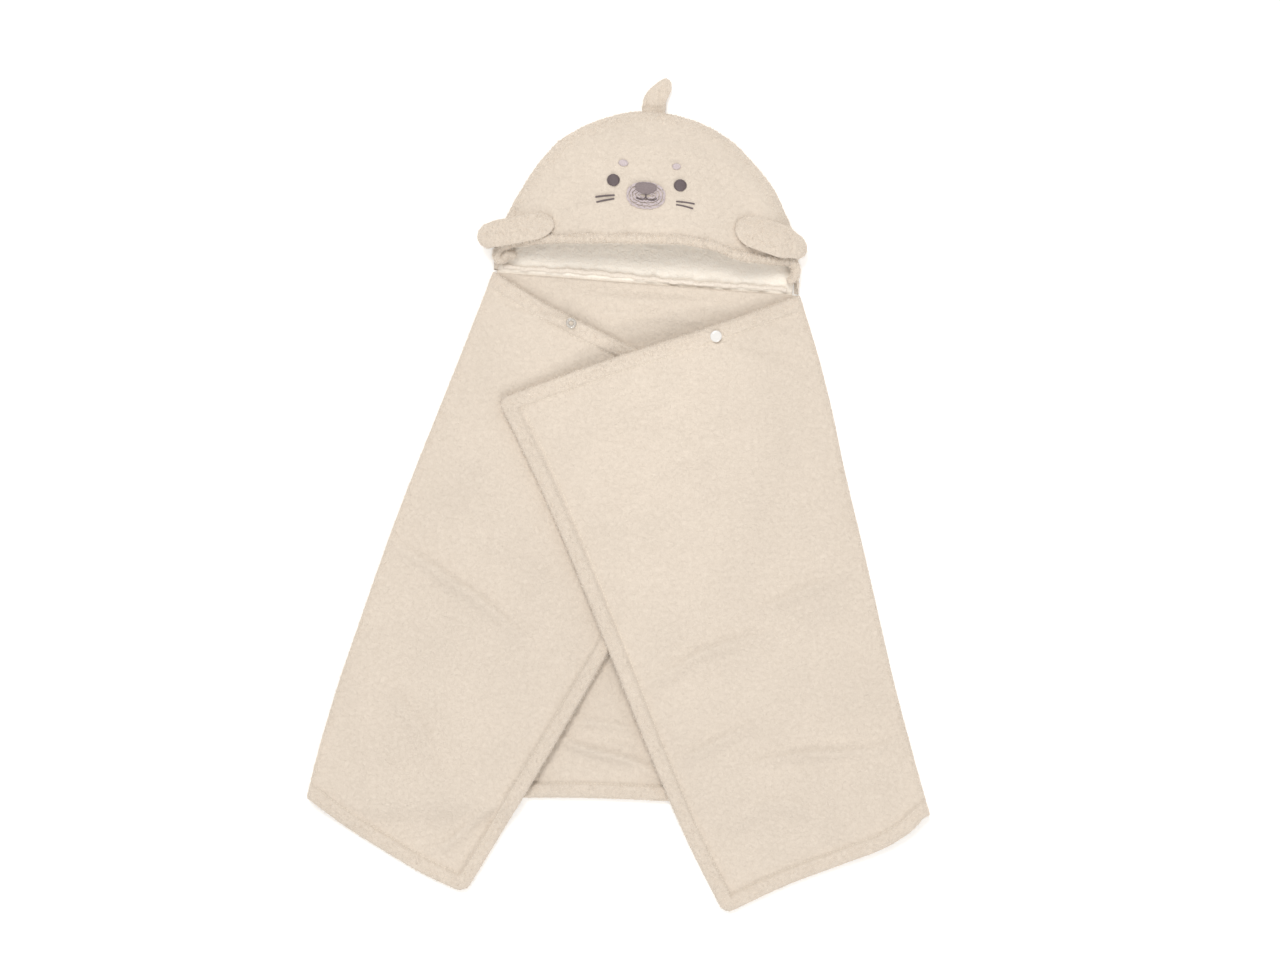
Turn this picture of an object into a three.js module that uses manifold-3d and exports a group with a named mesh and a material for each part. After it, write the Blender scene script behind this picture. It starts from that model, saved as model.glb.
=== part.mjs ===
// A hooded baby towel laid on its back, with its two front flaps folded over and its hood up at the head end.
// Millimetres. +X is the viewer's right, +Y points to the head end, +Z is up off the surface it lies on.
// The origin is on that surface, under the middle of the towel's back.
import * as THREE from "three";
import { mergeVertices } from "three/addons/utils/BufferGeometryUtils.js";
import Module from "manifold-3d";

const wasm = await Module();
wasm.setup();

const degrees = THREE.MathUtils.degToRad;

// ---------------------------------------------------------------- driving dimensions

// Cloth
const CLOTH = 4; // one layer of pile cloth
const HEM = 6; // a hem turned twice and stitched down
const HEM_WIDTH = 17;
const LAYER_GAP = 0.4; // between layers that lie on each other
const SEAM_GAP = 0.3; // between pieces sewn edge to edge

// Hood: a half-dome, seen from above as an ellipse cut off by the neck line.
// It has a frame of its own: x along the neck line, y towards the crown, the origin at the ellipse's centre.
const HOOD_CENTRE = new THREE.Vector2(27, 272.5);
const HOOD_TURN = degrees(-4.6);
const HOOD_HALF_WIDTH = 159;
const HOOD_LENGTH = 180; // from its centre to its crown
const HOOD_RISE = 40; // how far the face panel arches above the back panel
const NECK_OFFSET = 5; // the neck line's y in the hood's frame
const BRIM_SETBACK = 45; // how far behind the neck line the brim's top lies
const BRIM_HEM_WIDTH = 11;
const BRIM_HEM_PROUD = 1.6; // of the face panel, inside and out

// Neck binding
const BINDING_WIDTH = 11;
const BINDING_THICKNESS = 1.6;
const BINDING_SETBACK = 1; // from the neck line
const BINDING_INSET = 14; // from each fold

// Folds of the body cloth, each from its end of the neck line to its foot
const LEFT_FOLD_FOOT = new THREE.Vector2(-324, -270);
const RIGHT_FOLD_FOOT = new THREE.Vector2(321, -288);
const NECK_FLARE = 3; // how far each fold starts outside the hood's side
const BACK_FOOT_CREST = 8; // how far the back's hem rises above the line between the fold feet
const NECK_CLEARANCE = 6; // from the neck line down to where each flap starts

// Front flaps: the hem lengths, and the directions in which the hems leave the folds
const LEFT_TOP_LENGTH = 315;
const LEFT_TOP_ANGLE = degrees(-26.6);
const LEFT_FOOT_LENGTH = 191;
const LEFT_FOOT_ANGLE = degrees(-32.1);
const RIGHT_TOP_LENGTH = 334;
const RIGHT_TOP_ANGLE = degrees(180 + 18.8);
const RIGHT_FOOT_LENGTH = 233;
const RIGHT_FOOT_ANGLE = degrees(180 + 27.2);

// Snap fastener
const SNAP_CAP_RADIUS = 6.2;
const SNAP_CAP_HEIGHT = 2.6;
const SNAP_RING_RADIUS = 5.2;
const SNAP_RING_HEIGHT = 3.2;
const SNAP_SHANK_RADIUS = 1.6;
const SNAP_GRIP = 3; // what the cloth is squeezed to between the two halves
const SNAP_CLEARANCE = 0.3;
const LEFT_SNAP_REACH = 99; // along the flap's top hem, from the fold
const RIGHT_SNAP_REACH = 98.5;

// Flippers, folded in over the face from the hood's side seams
const FLIPPER_LENGTH = 80;
const FLIPPER_WIDTH = 45;
const FLIPPER_FOLD_WIDTH = 31;
const FLIPPER_CLOTH = 3;
// Where each one touches the face, in from the hood's side and up from its centre,
// how far from its fold that is, and which way it points, in the hood's frame
const RIGHT_FLIPPER_TOUCH = new THREE.Vector2(33, 56);
const RIGHT_FLIPPER_FOLD_REACH = 40;
const RIGHT_FLIPPER_HEADING = degrees(170);
const LEFT_FLIPPER_TOUCH = new THREE.Vector2(52, 50);
const LEFT_FLIPPER_FOLD_REACH = 75;
const LEFT_FLIPPER_HEADING = degrees(12);

// Tuft at the crown
const TUFT_LENGTH = 34;
const TUFT_WIDTH = 26;
const TUFT_CLOTH = 3.4;
const TUFT_ROOT = 5; // the stub between the crown seam and where the tuft bends
const TUFT_LEAN = degrees(-17); // towards the viewer's right
const TUFT_OFFSET = -4.5; // of its root from the hood's centre line

// Embroidered face
const THREAD = 0.9;
const BACKING = 0.8;
const FACE = new THREE.Vector2(-6, 92); // the muzzle's middle, in the hood's frame
const EYE_RADIUS = 6.4;
const EYE_SPREAD = 35; // each eye's distance from the face's centre line
const EYE_RISE = 13.6;
const BROW_WIDTH = 9.5;
const BROW_HEIGHT = 6.6;
const BROW_SPREAD = 27.8;
const BROW_RISE = 32.9;
const MUZZLE_WIDTH = 40;
const MUZZLE_HEIGHT = 28;
const NOSE_WIDTH = 23;
const NOSE_HEIGHT = 13;
const NOSE_RISE = 7.4;
const MOUTH_WIDTH = 22;
const MOUTH_STEM = 4;
const MOUTH_DIP = 2.4;
const STITCH_LINE = 1.4; // the width of a line of dark thread
const WHISKER_LENGTH = 20;
const WHISKER_INNER = 32; // from the centre line to a whisker's near end
const UPPER_WHISKER_DROP = 2.8;
const UPPER_WHISKER_SLOPE = degrees(-6);
const LOWER_WHISKER_DROP = 6.8;
const LOWER_WHISKER_SLOPE = degrees(-12);
const BACKING_WIDTH = 124;
const BACKING_HEIGHT = 66;

const CREAM = { color: 0xe9dccb, roughness: 0.95, metalness: 0 };
const LINING = { color: 0xeadfc8, roughness: 0.95, metalness: 0 };
const TAPE = { color: 0xefe4d2, roughness: 0.85, metalness: 0 };
const DARK_THREAD = { color: 0x6f6463, roughness: 0.6, metalness: 0 };
const LILAC_THREAD = { color: 0xcdc0c4, roughness: 0.6, metalness: 0 };
const PEARL = { color: 0xf4f4f2, roughness: 0.25, metalness: 0 };
const CLEAR_PLASTIC = { color: 0xe6dcd8, roughness: 0.35, metalness: 0 };
const FELT = { color: 0xf2efe8, roughness: 0.9, metalness: 0 };

// ---------------------------------------------------------------- levels, from the surface up

const BACK_TOP = CLOTH;
const LEFT_LEVEL = HEM + LAYER_GAP; // the left flap's underside, clear of the back's hem
const RIGHT_LEVEL = LEFT_LEVEL + HEM + LAYER_GAP;
const LEFT_FOLD_RADIUS = (LEFT_LEVEL + CLOTH) / 2;
const RIGHT_FOLD_RADIUS = (RIGHT_LEVEL + CLOTH) / 2;

// ---------------------------------------------------------------- helpers

const part = new THREE.Group();

/** Adds a named mesh of a finish to a group. */
function addPiece(name, geometry, finish, parent = part) {
  const mesh = new THREE.Mesh(geometry, new THREE.MeshStandardMaterial(finish));
  mesh.name = name;
  parent.add(mesh);
  return mesh;
}

/** A closed geometry as a solid that can be joined and cut. */
function toSolid(geometry) {
  const bare = geometry.index ? geometry.toNonIndexed() : geometry.clone();
  bare.deleteAttribute("normal");
  bare.deleteAttribute("uv");
  const merged = mergeVertices(bare, 1e-4);
  return new wasm.Manifold(
    new wasm.Mesh({
      numProp: 3,
      vertProperties: new Float32Array(merged.attributes.position.array),
      triVerts: new Uint32Array(merged.index.array),
    }),
  );
}

/** A solid back as a geometry. */
function toGeometry(solid) {
  const mesh = solid.getMesh();
  const positions = new Float32Array(mesh.numVert * 3);
  for (let i = 0; i < mesh.numVert; i++) {
    const start = i * mesh.numProp;
    positions.set(mesh.vertProperties.subarray(start, start + 3), i * 3);
  }
  const geometry = new THREE.BufferGeometry();
  geometry.setAttribute("position", new THREE.BufferAttribute(positions, 3));
  geometry.setIndex(new THREE.BufferAttribute(mesh.triVerts, 1));
  geometry.computeVertexNormals();
  return geometry;
}

/** The point at a distance and an angle from another. */
function reach(from, distance, angle) {
  return new THREE.Vector2(Math.cos(angle), Math.sin(angle)).multiplyScalar(distance).add(from);
}

/** Where the line through a along u meets the line through b along v. */
function crossing(a, u, b, v) {
  const t = b.clone().sub(a).cross(v) / u.cross(v);
  return a.clone().addScaledVector(u, t);
}

/** A convex outline, counterclockwise, with each edge moved inwards by its own distance. */
function inset(corners, distances) {
  const edges = corners.map((corner, i) => {
    const along = corners[(i + 1) % corners.length].clone().sub(corner).normalize();
    const inwards = new THREE.Vector2(-along.y, along.x);
    return { start: corner.clone().addScaledVector(inwards, distances[i]), along };
  });
  return edges.map((edge, i) => {
    const before = edges[(i + edges.length - 1) % edges.length];
    return crossing(before.start, before.along, edge.start, edge.along);
  });
}

/** A flat plate of an outline, with its underside at a level. */
function plate(outline, level, thickness) {
  const shape = new THREE.Shape(outline);
  const geometry = new THREE.ExtrudeGeometry(shape, { depth: thickness, bevelEnabled: false });
  return geometry.translate(0, 0, level);
}

/** A half-round fold of cloth along a line, from the lower layer round to the upper one. */
function foldStrip(top, foot, radius, outwardSign) {
  const section = new THREE.Shape();
  section.absarc(0, 0, radius, -Math.PI / 2, Math.PI / 2, false);
  section.absarc(0, 0, radius - CLOTH, Math.PI / 2, -Math.PI / 2, true);
  const along = top.clone().sub(foot);
  const options = { depth: along.length(), bevelEnabled: false, curveSegments: 10 };
  const geometry = new THREE.ExtrudeGeometry(section, options);
  geometry.rotateX(Math.PI / 2); // the section's height is now Z, and its length runs along -Y
  geometry.translate(0, along.length(), 0);
  if (outwardSign < 0) geometry.rotateZ(Math.PI).translate(0, along.length(), 0);
  geometry.rotateZ(along.angle() - Math.PI / 2);
  return geometry.translate(foot.x, foot.y, radius);
}

// ---------------------------------------------------------------- places that the pieces share

const hood = new THREE.Group();
hood.name = "hood";
hood.position.set(HOOD_CENTRE.x, HOOD_CENTRE.y, 0);
hood.rotation.z = HOOD_TURN;
part.add(hood);

/** A place on the surface, from the hood's frame. */
function fromHood(x, y) {
  return new THREE.Vector2(x, y).rotateAround(new THREE.Vector2(), HOOD_TURN).add(HOOD_CENTRE);
}

const neckHalfWidth = HOOD_HALF_WIDTH + NECK_FLARE;
const neckLeft = fromHood(-neckHalfWidth, NECK_OFFSET);
const neckRight = fromHood(neckHalfWidth, NECK_OFFSET);

/** The foot of a flap's fold, and its top a clearance below the neck line's end. */
function foldLine(neckEnd, foot) {
  const down = foot.clone().sub(neckEnd).normalize();
  return { top: neckEnd.clone().addScaledVector(down, NECK_CLEARANCE), foot };
}
const leftFold = foldLine(neckLeft, LEFT_FOLD_FOOT);
const rightFold = foldLine(neckRight, RIGHT_FOLD_FOOT);

// ---------------------------------------------------------------- the towel's back

/** The back of the body cloth, with its stitched hem along the foot. */
function buildBack() {
  const crest = LEFT_FOLD_FOOT.clone().lerp(RIGHT_FOLD_FOOT, 0.5).add(new THREE.Vector2(0, BACK_FOOT_CREST));
  const outline = [neckLeft, leftFold.foot, crest, rightFold.foot, neckRight];
  const half = SEAM_GAP / 2;
  const gap = SEAM_GAP;
  const inner = HEM_WIDTH + half;
  addPiece("towel_back", plate(inset(outline, [gap, inner, inner, gap, half]), 0, CLOTH), CREAM);

  const full = inset(outline, [gap, 0, 0, gap, half]);
  const upper = inset(outline, [gap, HEM_WIDTH - half, HEM_WIDTH - half, gap, half]);
  const hem = [full[1], full[2], full[3], upper[3], upper[2], upper[1]];
  addPiece("back_foot_hem", plate(hem, 0, HEM), CREAM);
}

/** The tape that covers the seam between the towel and the hood, on the towel's side of the neck line. */
function buildNeckBinding() {
  const x = neckHalfWidth - BINDING_INSET;
  const top = NECK_OFFSET - BINDING_SETBACK;
  const foot = top - BINDING_WIDTH;
  const outline = [fromHood(-x, top), fromHood(-x, foot), fromHood(x, foot), fromHood(x, top)];
  addPiece("neck_binding", plate(outline, BACK_TOP + SEAM_GAP, BINDING_THICKNESS), TAPE);
}

// ---------------------------------------------------------------- snap fasteners

/** A turned profile, spun round Z: pairs of radius and height, from the axis and back to it. */
function turned(profile) {
  const points = profile.map(([r, z]) => new THREE.Vector2(r, z));
  return new THREE.LatheGeometry(points, 32).rotateX(Math.PI / 2);
}

/** The domed cap with its shank. Its flange sits at height 0 and the shank points down. */
function snapCap(shankLength) {
  const profile = [[0, -shankLength], [SNAP_SHANK_RADIUS, -shankLength], [SNAP_SHANK_RADIUS, 0]];
  profile.push([SNAP_CAP_RADIUS, 0], [SNAP_CAP_RADIUS, SNAP_CAP_HEIGHT * 0.35]);
  const steps = 5;
  for (let i = 1; i <= steps; i++) {
    const turn = (i / steps) * (Math.PI / 2);
    const rim = SNAP_CAP_HEIGHT * 0.35;
    const radius = i === steps ? 0 : SNAP_CAP_RADIUS * Math.cos(turn);
    profile.push([radius, rim + (SNAP_CAP_HEIGHT - rim) * Math.sin(turn)]);
  }
  return turned(profile);
}

/** The ring half that takes the shank: a disc with a raised rim round a central hole. */
function snapRing() {
  const bore = SNAP_SHANK_RADIUS + SNAP_CLEARANCE;
  const lip = SNAP_RING_RADIUS * 0.68;
  const profile = [[bore, 0], [SNAP_RING_RADIUS, 0], [SNAP_RING_RADIUS, SNAP_RING_HEIGHT * 0.55]];
  profile.push([SNAP_RING_RADIUS * 0.9, SNAP_RING_HEIGHT], [lip, SNAP_RING_HEIGHT]);
  profile.push([lip, SNAP_RING_HEIGHT * 0.5], [bore, SNAP_RING_HEIGHT * 0.5], [bore, 0]);
  return turned(profile);
}

/** Cuts a hem for a snap: a hole for the shank, and the cloth pressed in round each half. */
function pressedHem(hem, place, level) {
  const pocket = (HEM - SNAP_GRIP) / 2;
  const cylinder = (radius, height, z) => {
    const made = new THREE.CylinderGeometry(radius, radius, height, 32).rotateX(Math.PI / 2);
    return toSolid(made.translate(place.x, place.y, z));
  };
  const wide = SNAP_CAP_RADIUS + SNAP_CLEARANCE;
  return toGeometry(
    toSolid(hem)
      .subtract(cylinder(SNAP_SHANK_RADIUS + SNAP_CLEARANCE, HEM * 2, level + HEM / 2))
      .subtract(cylinder(wide, pocket * 2, level))
      .subtract(cylinder(wide, pocket * 2, level + HEM)),
  );
}

/** The two halves of a snap on a hem. Its cap is above the cloth if capUp is true, and below it if not. */
function addSnap(side, place, level, capUp) {
  const pocket = (HEM - SNAP_GRIP) / 2;
  const shank = SNAP_GRIP + SNAP_CLEARANCE + SNAP_RING_HEIGHT * 0.3;
  const upper = level + HEM - pocket + SNAP_CLEARANCE;
  const lower = level + pocket - SNAP_CLEARANCE;
  const cap = addPiece(side + "_snap_cap", snapCap(shank + SNAP_CLEARANCE), PEARL);
  const ring = addPiece(side + "_snap_" + (capUp ? "socket" : "stud"), snapRing(), CLEAR_PLASTIC);
  cap.position.set(place.x, place.y, capUp ? upper : lower);
  ring.position.set(place.x, place.y, capUp ? lower : upper);
  (capUp ? ring : cap).rotation.x = Math.PI;
}

// ---------------------------------------------------------------- front flaps

/** A flap's panel, its three hems, its snap and the fold that joins it to the back. */
function buildFlap({ side, fold, level, radius, top, foot, snapReach }) {
  const left = side === "left";
  const topCorner = reach(fold.top, top.length, top.angle);
  const footCorner = reach(fold.foot, foot.length, foot.angle);
  const outline = left
    ? [fold.top, fold.foot, footCorner, topCorner]
    : [fold.top, topCorner, footCorner, fold.foot];
  /** One distance for the fold and one for the three hemmed edges, in the outline's order. */
  const distances = (atFold, atHem) => (left ? [atFold, atHem, atHem, atHem] : [atHem, atHem, atHem, atFold]);
  const half = SEAM_GAP / 2;
  const panel = inset(outline, distances(SEAM_GAP, HEM_WIDTH + half));
  addPiece(side + "_front_panel", plate(panel, level, CLOTH), CREAM);

  const outer = inset(outline, distances(half, 0));
  const inner = inset(outline, distances(half, HEM_WIDTH));
  const strips = left ? ["", "foot", "edge", "top"] : ["top", "edge", "foot", ""];
  strips.forEach((strip, i) => {
    if (!strip) return;
    const j = (i + 1) % 4;
    const band = inset([outer[i], outer[j], inner[j], inner[i]], [0, half, half, half]);
    let hem = plate(band, level, HEM);
    if (strip === "top") {
      const into = new THREE.Vector2(0, 1).rotateAround(new THREE.Vector2(), top.angle);
      const place = reach(fold.top, snapReach, top.angle);
      place.addScaledVector(into, left ? -HEM_WIDTH / 2 : HEM_WIDTH / 2);
      hem = pressedHem(hem, place, level);
      addSnap(side, place, level, !left);
    }
    addPiece(side + "_front_" + strip + "_hem", hem, CREAM);
  });

  addPiece(side + "_fold", foldStrip(fold.top, fold.foot, radius, left ? -1 : 1), CREAM);
}

// ---------------------------------------------------------------- hood

/** The hood's dome as a solid, grown or shrunk all round by a distance. */
function dome(grow) {
  const sphere = new THREE.SphereGeometry(1, 44, 26).rotateX(Math.PI / 2);
  sphere.scale(HOOD_HALF_WIDTH + grow, HOOD_LENGTH + grow, HOOD_RISE + grow);
  return toSolid(sphere.translate(0, 0, BACK_TOP));
}

/** Everything inside the hood's outline as seen from above, grown by a distance. */
function column(grow) {
  const cylinder = new THREE.CylinderGeometry(1, 1, 4 * HOOD_RISE, 88).rotateX(Math.PI / 2);
  return toSolid(cylinder.scale(HOOD_HALF_WIDTH + grow, HOOD_LENGTH + grow, 1));
}

/** A block that fills everything on one side of its own z = 0 plane. */
function halfSpace() {
  const size = 4 * HOOD_LENGTH;
  return new THREE.BoxGeometry(size, size, size).translate(0, 0, size / 2);
}

/** Everything behind the brim's plane, which holds the neck line and leans back, moved back by an offset. */
function behindBrim(offset) {
  const lean = Math.atan2(BRIM_SETBACK, HOOD_RISE);
  const block = halfSpace().translate(0, 0, offset).rotateX(-Math.PI / 2 - lean);
  return toSolid(block.translate(0, NECK_OFFSET, BACK_TOP));
}

/** The face panel's outer surface over a place in the hood's frame: the point, and the way it faces. */
function onFace(x, y) {
  const u = x / HOOD_HALF_WIDTH;
  const v = y / HOOD_LENGTH;
  const z = HOOD_RISE * Math.sqrt(1 - u * u - v * v);
  const normal = new THREE.Vector3(u / HOOD_HALF_WIDTH, v / HOOD_LENGTH, z / HOOD_RISE ** 2);
  return { point: new THREE.Vector3(x, y, BACK_TOP + z), normal: normal.normalize() };
}

/** The hood's back panel, face panel and the rolled hem round its mouth. */
function buildHood() {
  const overNeck = halfSpace().rotateX(-Math.PI / 2).translate(0, NECK_OFFSET + SEAM_GAP / 2, 0);
  const slab = new THREE.BoxGeometry(4 * HOOD_LENGTH, 4 * HOOD_LENGTH, CLOTH).translate(0, 0, CLOTH / 2);
  const back = column(0).intersect(toSolid(slab)).intersect(toSolid(overNeck));
  addPiece("hood_back_panel", toGeometry(back), LINING, hood);

  const lifted = toSolid(halfSpace().translate(0, 0, BACK_TOP + SEAM_GAP));
  const shell = dome(0).subtract(dome(-CLOTH)).intersect(lifted);
  const face = shell.intersect(behindBrim(BRIM_HEM_WIDTH + SEAM_GAP));
  addPiece("hood_face_panel", toGeometry(face), CREAM, hood);

  const thick = dome(BRIM_HEM_PROUD).subtract(dome(-CLOTH - BRIM_HEM_PROUD)).intersect(lifted);
  const brim = thick.intersect(behindBrim(SEAM_GAP)).subtract(behindBrim(BRIM_HEM_WIDTH));
  addPiece("brim_hem", toGeometry(brim), CREAM, hood);
}

// ---------------------------------------------------------------- face embroidery

/** Puts a patch of thread on the face: x and y are from the muzzle's middle, and lift is above the cloth. */
function addEmbroidery(name, shape, x, y, finish, { turn = 0, lift = 0 } = {}) {
  const { point, normal } = onFace(FACE.x + x, FACE.y + y);
  const options = { depth: THREAD, bevelEnabled: false, curveSegments: 16 };
  const patch = addPiece(name, new THREE.ExtrudeGeometry(shape, options), finish, hood);
  const up = new THREE.Vector3(0, 0, 1);
  patch.quaternion.setFromUnitVectors(up, normal);
  patch.quaternion.multiply(new THREE.Quaternion().setFromAxisAngle(up, turn));
  patch.position.copy(point).addScaledVector(normal, SEAM_GAP + lift);
}

/** An oval outline about its middle. */
function oval(width, height) {
  return new THREE.Shape().absellipse(0, 0, width / 2, height / 2, 0, 2 * Math.PI);
}

/** The nose: wide and rounded on top, drawn to a blunt point below. */
function noseShape() {
  const w = NOSE_WIDTH / 2;
  const h = NOSE_HEIGHT / 2;
  const shape = new THREE.Shape().moveTo(0, -h);
  shape.bezierCurveTo(w * 0.35, -h, w, -h * 0.35, w, h * 0.1);
  shape.bezierCurveTo(w, h * 0.85, w * 0.5, h, 0, h);
  shape.bezierCurveTo(-w * 0.5, h, -w, h * 0.85, -w, h * 0.1);
  return shape.bezierCurveTo(-w, -h * 0.35, -w * 0.35, -h, 0, -h);
}

/** The mouth: a short stem that parts into two upturned curves. Its origin is where they part. */
function mouthShape() {
  const w = MOUTH_WIDTH / 2;
  const t = STITCH_LINE / 2;
  const dip = 2 * MOUTH_DIP;
  const shape = new THREE.Shape().moveTo(-t, MOUTH_STEM);
  shape.lineTo(-t, t).quadraticCurveTo(-w * 0.5, t - dip, -w, t);
  shape.lineTo(-w, -t).quadraticCurveTo(-w * 0.5, -t - dip, 0, -t);
  shape.quadraticCurveTo(w * 0.5, -t - dip, w, -t);
  shape.lineTo(w, t).quadraticCurveTo(w * 0.5, t - dip, t, t);
  return shape.lineTo(t, MOUTH_STEM);
}

/** A straight run of stitching with round ends. */
function stitchLine(length) {
  const t = STITCH_LINE / 2;
  const shape = new THREE.Shape().moveTo(0, -t).lineTo(length, -t);
  shape.absarc(length, 0, t, -Math.PI / 2, Math.PI / 2, false).lineTo(0, t);
  return shape.absarc(0, 0, t, Math.PI / 2, (3 * Math.PI) / 2, false);
}

/** The eyes, brows, muzzle, nose, mouth and whiskers, and the soft backing behind them. */
function buildFace() {
  const eye = oval(2 * EYE_RADIUS, 2 * EYE_RADIUS);
  const brow = oval(BROW_WIDTH, BROW_HEIGHT);
  const whisker = stitchLine(WHISKER_LENGTH);
  for (const [side, sign] of [["left", -1], ["right", 1]]) {
    const x = sign * WHISKER_INNER;
    const turn = (slope) => (sign > 0 ? slope : Math.PI - slope);
    addEmbroidery(side + "_eye", eye, sign * EYE_SPREAD, EYE_RISE, DARK_THREAD);
    addEmbroidery(side + "_brow", brow, sign * BROW_SPREAD, BROW_RISE, LILAC_THREAD);
    const upper = { turn: turn(UPPER_WHISKER_SLOPE) };
    const lower = { turn: turn(LOWER_WHISKER_SLOPE) };
    addEmbroidery(side + "_upper_whisker", whisker, x, -UPPER_WHISKER_DROP, DARK_THREAD, upper);
    addEmbroidery(side + "_lower_whisker", whisker, x, -LOWER_WHISKER_DROP, DARK_THREAD, lower);
  }
  const lift = THREAD + SEAM_GAP;
  const mouthRise = NOSE_RISE - NOSE_HEIGHT / 2 - SEAM_GAP - MOUTH_STEM;
  addEmbroidery("muzzle", oval(MUZZLE_WIDTH, MUZZLE_HEIGHT), 0, 0, LILAC_THREAD);
  addEmbroidery("nose", noseShape(), 0, NOSE_RISE, DARK_THREAD, { lift });
  addEmbroidery("mouth", mouthShape(), 0, mouthRise, DARK_THREAD, { lift });

  const outside = -CLOTH - SEAM_GAP;
  const sheet = dome(outside).subtract(dome(outside - BACKING));
  const patch = new THREE.BoxGeometry(BACKING_WIDTH, BACKING_HEIGHT, 4 * HOOD_RISE);
  patch.translate(FACE.x, FACE.y + EYE_RISE, 2 * HOOD_RISE + BACK_TOP);
  addPiece("embroidery_backing", toGeometry(sheet.intersect(toSolid(patch))), FELT, hood);
}

// ---------------------------------------------------------------- flippers and tuft

/** A flipper's outline: narrower at the fold, round at the tip. Its length runs along +X from the fold. */
function flipperShape() {
  const r = FLIPPER_WIDTH / 2;
  const fold = FLIPPER_FOLD_WIDTH / 2;
  const shape = new THREE.Shape().moveTo(SEAM_GAP, -fold).lineTo(FLIPPER_LENGTH - r, -r);
  return shape.absarc(FLIPPER_LENGTH - r, 0, r, -Math.PI / 2, Math.PI / 2, false).lineTo(SEAM_GAP, fold);
}

/** A flipper of two layers, folded in over the face, and the root that joins its fold to the side seam. */
function buildFlipper(side, touch, foldReach, heading) {
  const inFromSide = HOOD_HALF_WIDTH - touch.x;
  const { point, normal } = onFace(side === "left" ? -inFromSide : inFromSide, touch.y);
  const ahead = new THREE.Vector3(Math.cos(heading), Math.sin(heading), 0);
  const across = normal.clone().cross(ahead).normalize();
  const along = across.clone().cross(normal);
  const flipper = new THREE.Group();
  flipper.name = side + "_flipper";
  flipper.quaternion.setFromRotationMatrix(new THREE.Matrix4().makeBasis(along, across, normal));
  flipper.position.copy(point).addScaledVector(normal, BRIM_HEM_PROUD + SEAM_GAP);
  flipper.position.addScaledVector(along, -foldReach);
  hood.add(flipper);
  const options = { depth: FLIPPER_CLOTH, bevelEnabled: false, curveSegments: 14 };
  const layer = new THREE.ExtrudeGeometry(flipperShape(), options);
  addPiece(side + "_flipper_inner", layer, LINING, flipper);
  const outer = addPiece(side + "_flipper_outer", layer.clone(), CREAM, flipper);
  outer.position.z = FLIPPER_CLOTH + LAYER_GAP;

  // The root stands under the flipper, from the fold in to the hood's seam.
  const fold = flipper.position;
  const root = new THREE.BoxGeometry(FLIPPER_LENGTH, FLIPPER_FOLD_WIDTH, fold.z * 2);
  root.translate(FLIPPER_LENGTH / 2, 0, fold.z).rotateZ(heading).translate(fold.x, fold.y, 0);
  const overFlipper = halfSpace().translate(0, 0, -LAYER_GAP);
  flipper.updateMatrix();
  overFlipper.applyMatrix4(flipper.matrix);
  const brimZone = dome(BRIM_HEM_PROUD + SEAM_GAP).subtract(behindBrim(BRIM_HEM_WIDTH + SEAM_GAP));
  const solid = toSolid(root).subtract(column(SEAM_GAP)).subtract(toSolid(overFlipper)).subtract(brimZone);
  addPiece(side + "_flipper_root", toGeometry(solid), CREAM, hood);
}

/** The tuft's outline: a leaf that leans to a round tip. Its length runs along +Y from the bend. */
function tuftShape() {
  const w = TUFT_WIDTH / 2;
  const l = TUFT_LENGTH;
  const shape = new THREE.Shape().moveTo(w * 0.78, SEAM_GAP);
  shape.bezierCurveTo(w * 0.8, l * 0.3, w * 0.75, l * 0.62, w * 0.55, l * 0.86);
  shape.bezierCurveTo(w * 0.45, l, -w * 0.12, l * 1.02, -w * 0.3, l * 0.86);
  shape.bezierCurveTo(-w * 0.8, l * 0.6, -w * 1.1, l * 0.45, -w * 0.86, SEAM_GAP);
  return shape;
}

/** The tuft's two layers, which bend about their top edge, and the stub that is caught in the crown seam. */
function buildTuft() {
  const u = TUFT_OFFSET / HOOD_HALF_WIDTH;
  const crown = HOOD_LENGTH * Math.sqrt(1 - u * u);
  const tuft = new THREE.Group();
  tuft.name = "tuft";
  tuft.position.set(TUFT_OFFSET, crown + TUFT_ROOT, 2 * TUFT_CLOTH + LAYER_GAP);
  tuft.rotation.z = TUFT_LEAN;
  hood.add(tuft);
  const options = { depth: TUFT_CLOTH, bevelEnabled: false, curveSegments: 8 };
  const layer = new THREE.ExtrudeGeometry(tuftShape(), options);
  const back = addPiece("tuft_back", layer, CREAM, tuft);
  const front = addPiece("tuft_front", layer.clone(), CREAM, tuft);
  back.position.z = -2 * TUFT_CLOTH - LAYER_GAP;
  front.position.z = -TUFT_CLOTH;

  const root = new THREE.BoxGeometry(TUFT_WIDTH * 0.76, TUFT_ROOT * 4, 2 * TUFT_CLOTH);
  root.translate(0, -TUFT_ROOT * 2, TUFT_CLOTH).rotateZ(TUFT_LEAN);
  root.translate(tuft.position.x, tuft.position.y, 0);
  addPiece("tuft_root", toGeometry(toSolid(root).subtract(column(SEAM_GAP))), CREAM, hood);
}

// ---------------------------------------------------------------- assembly

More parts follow.
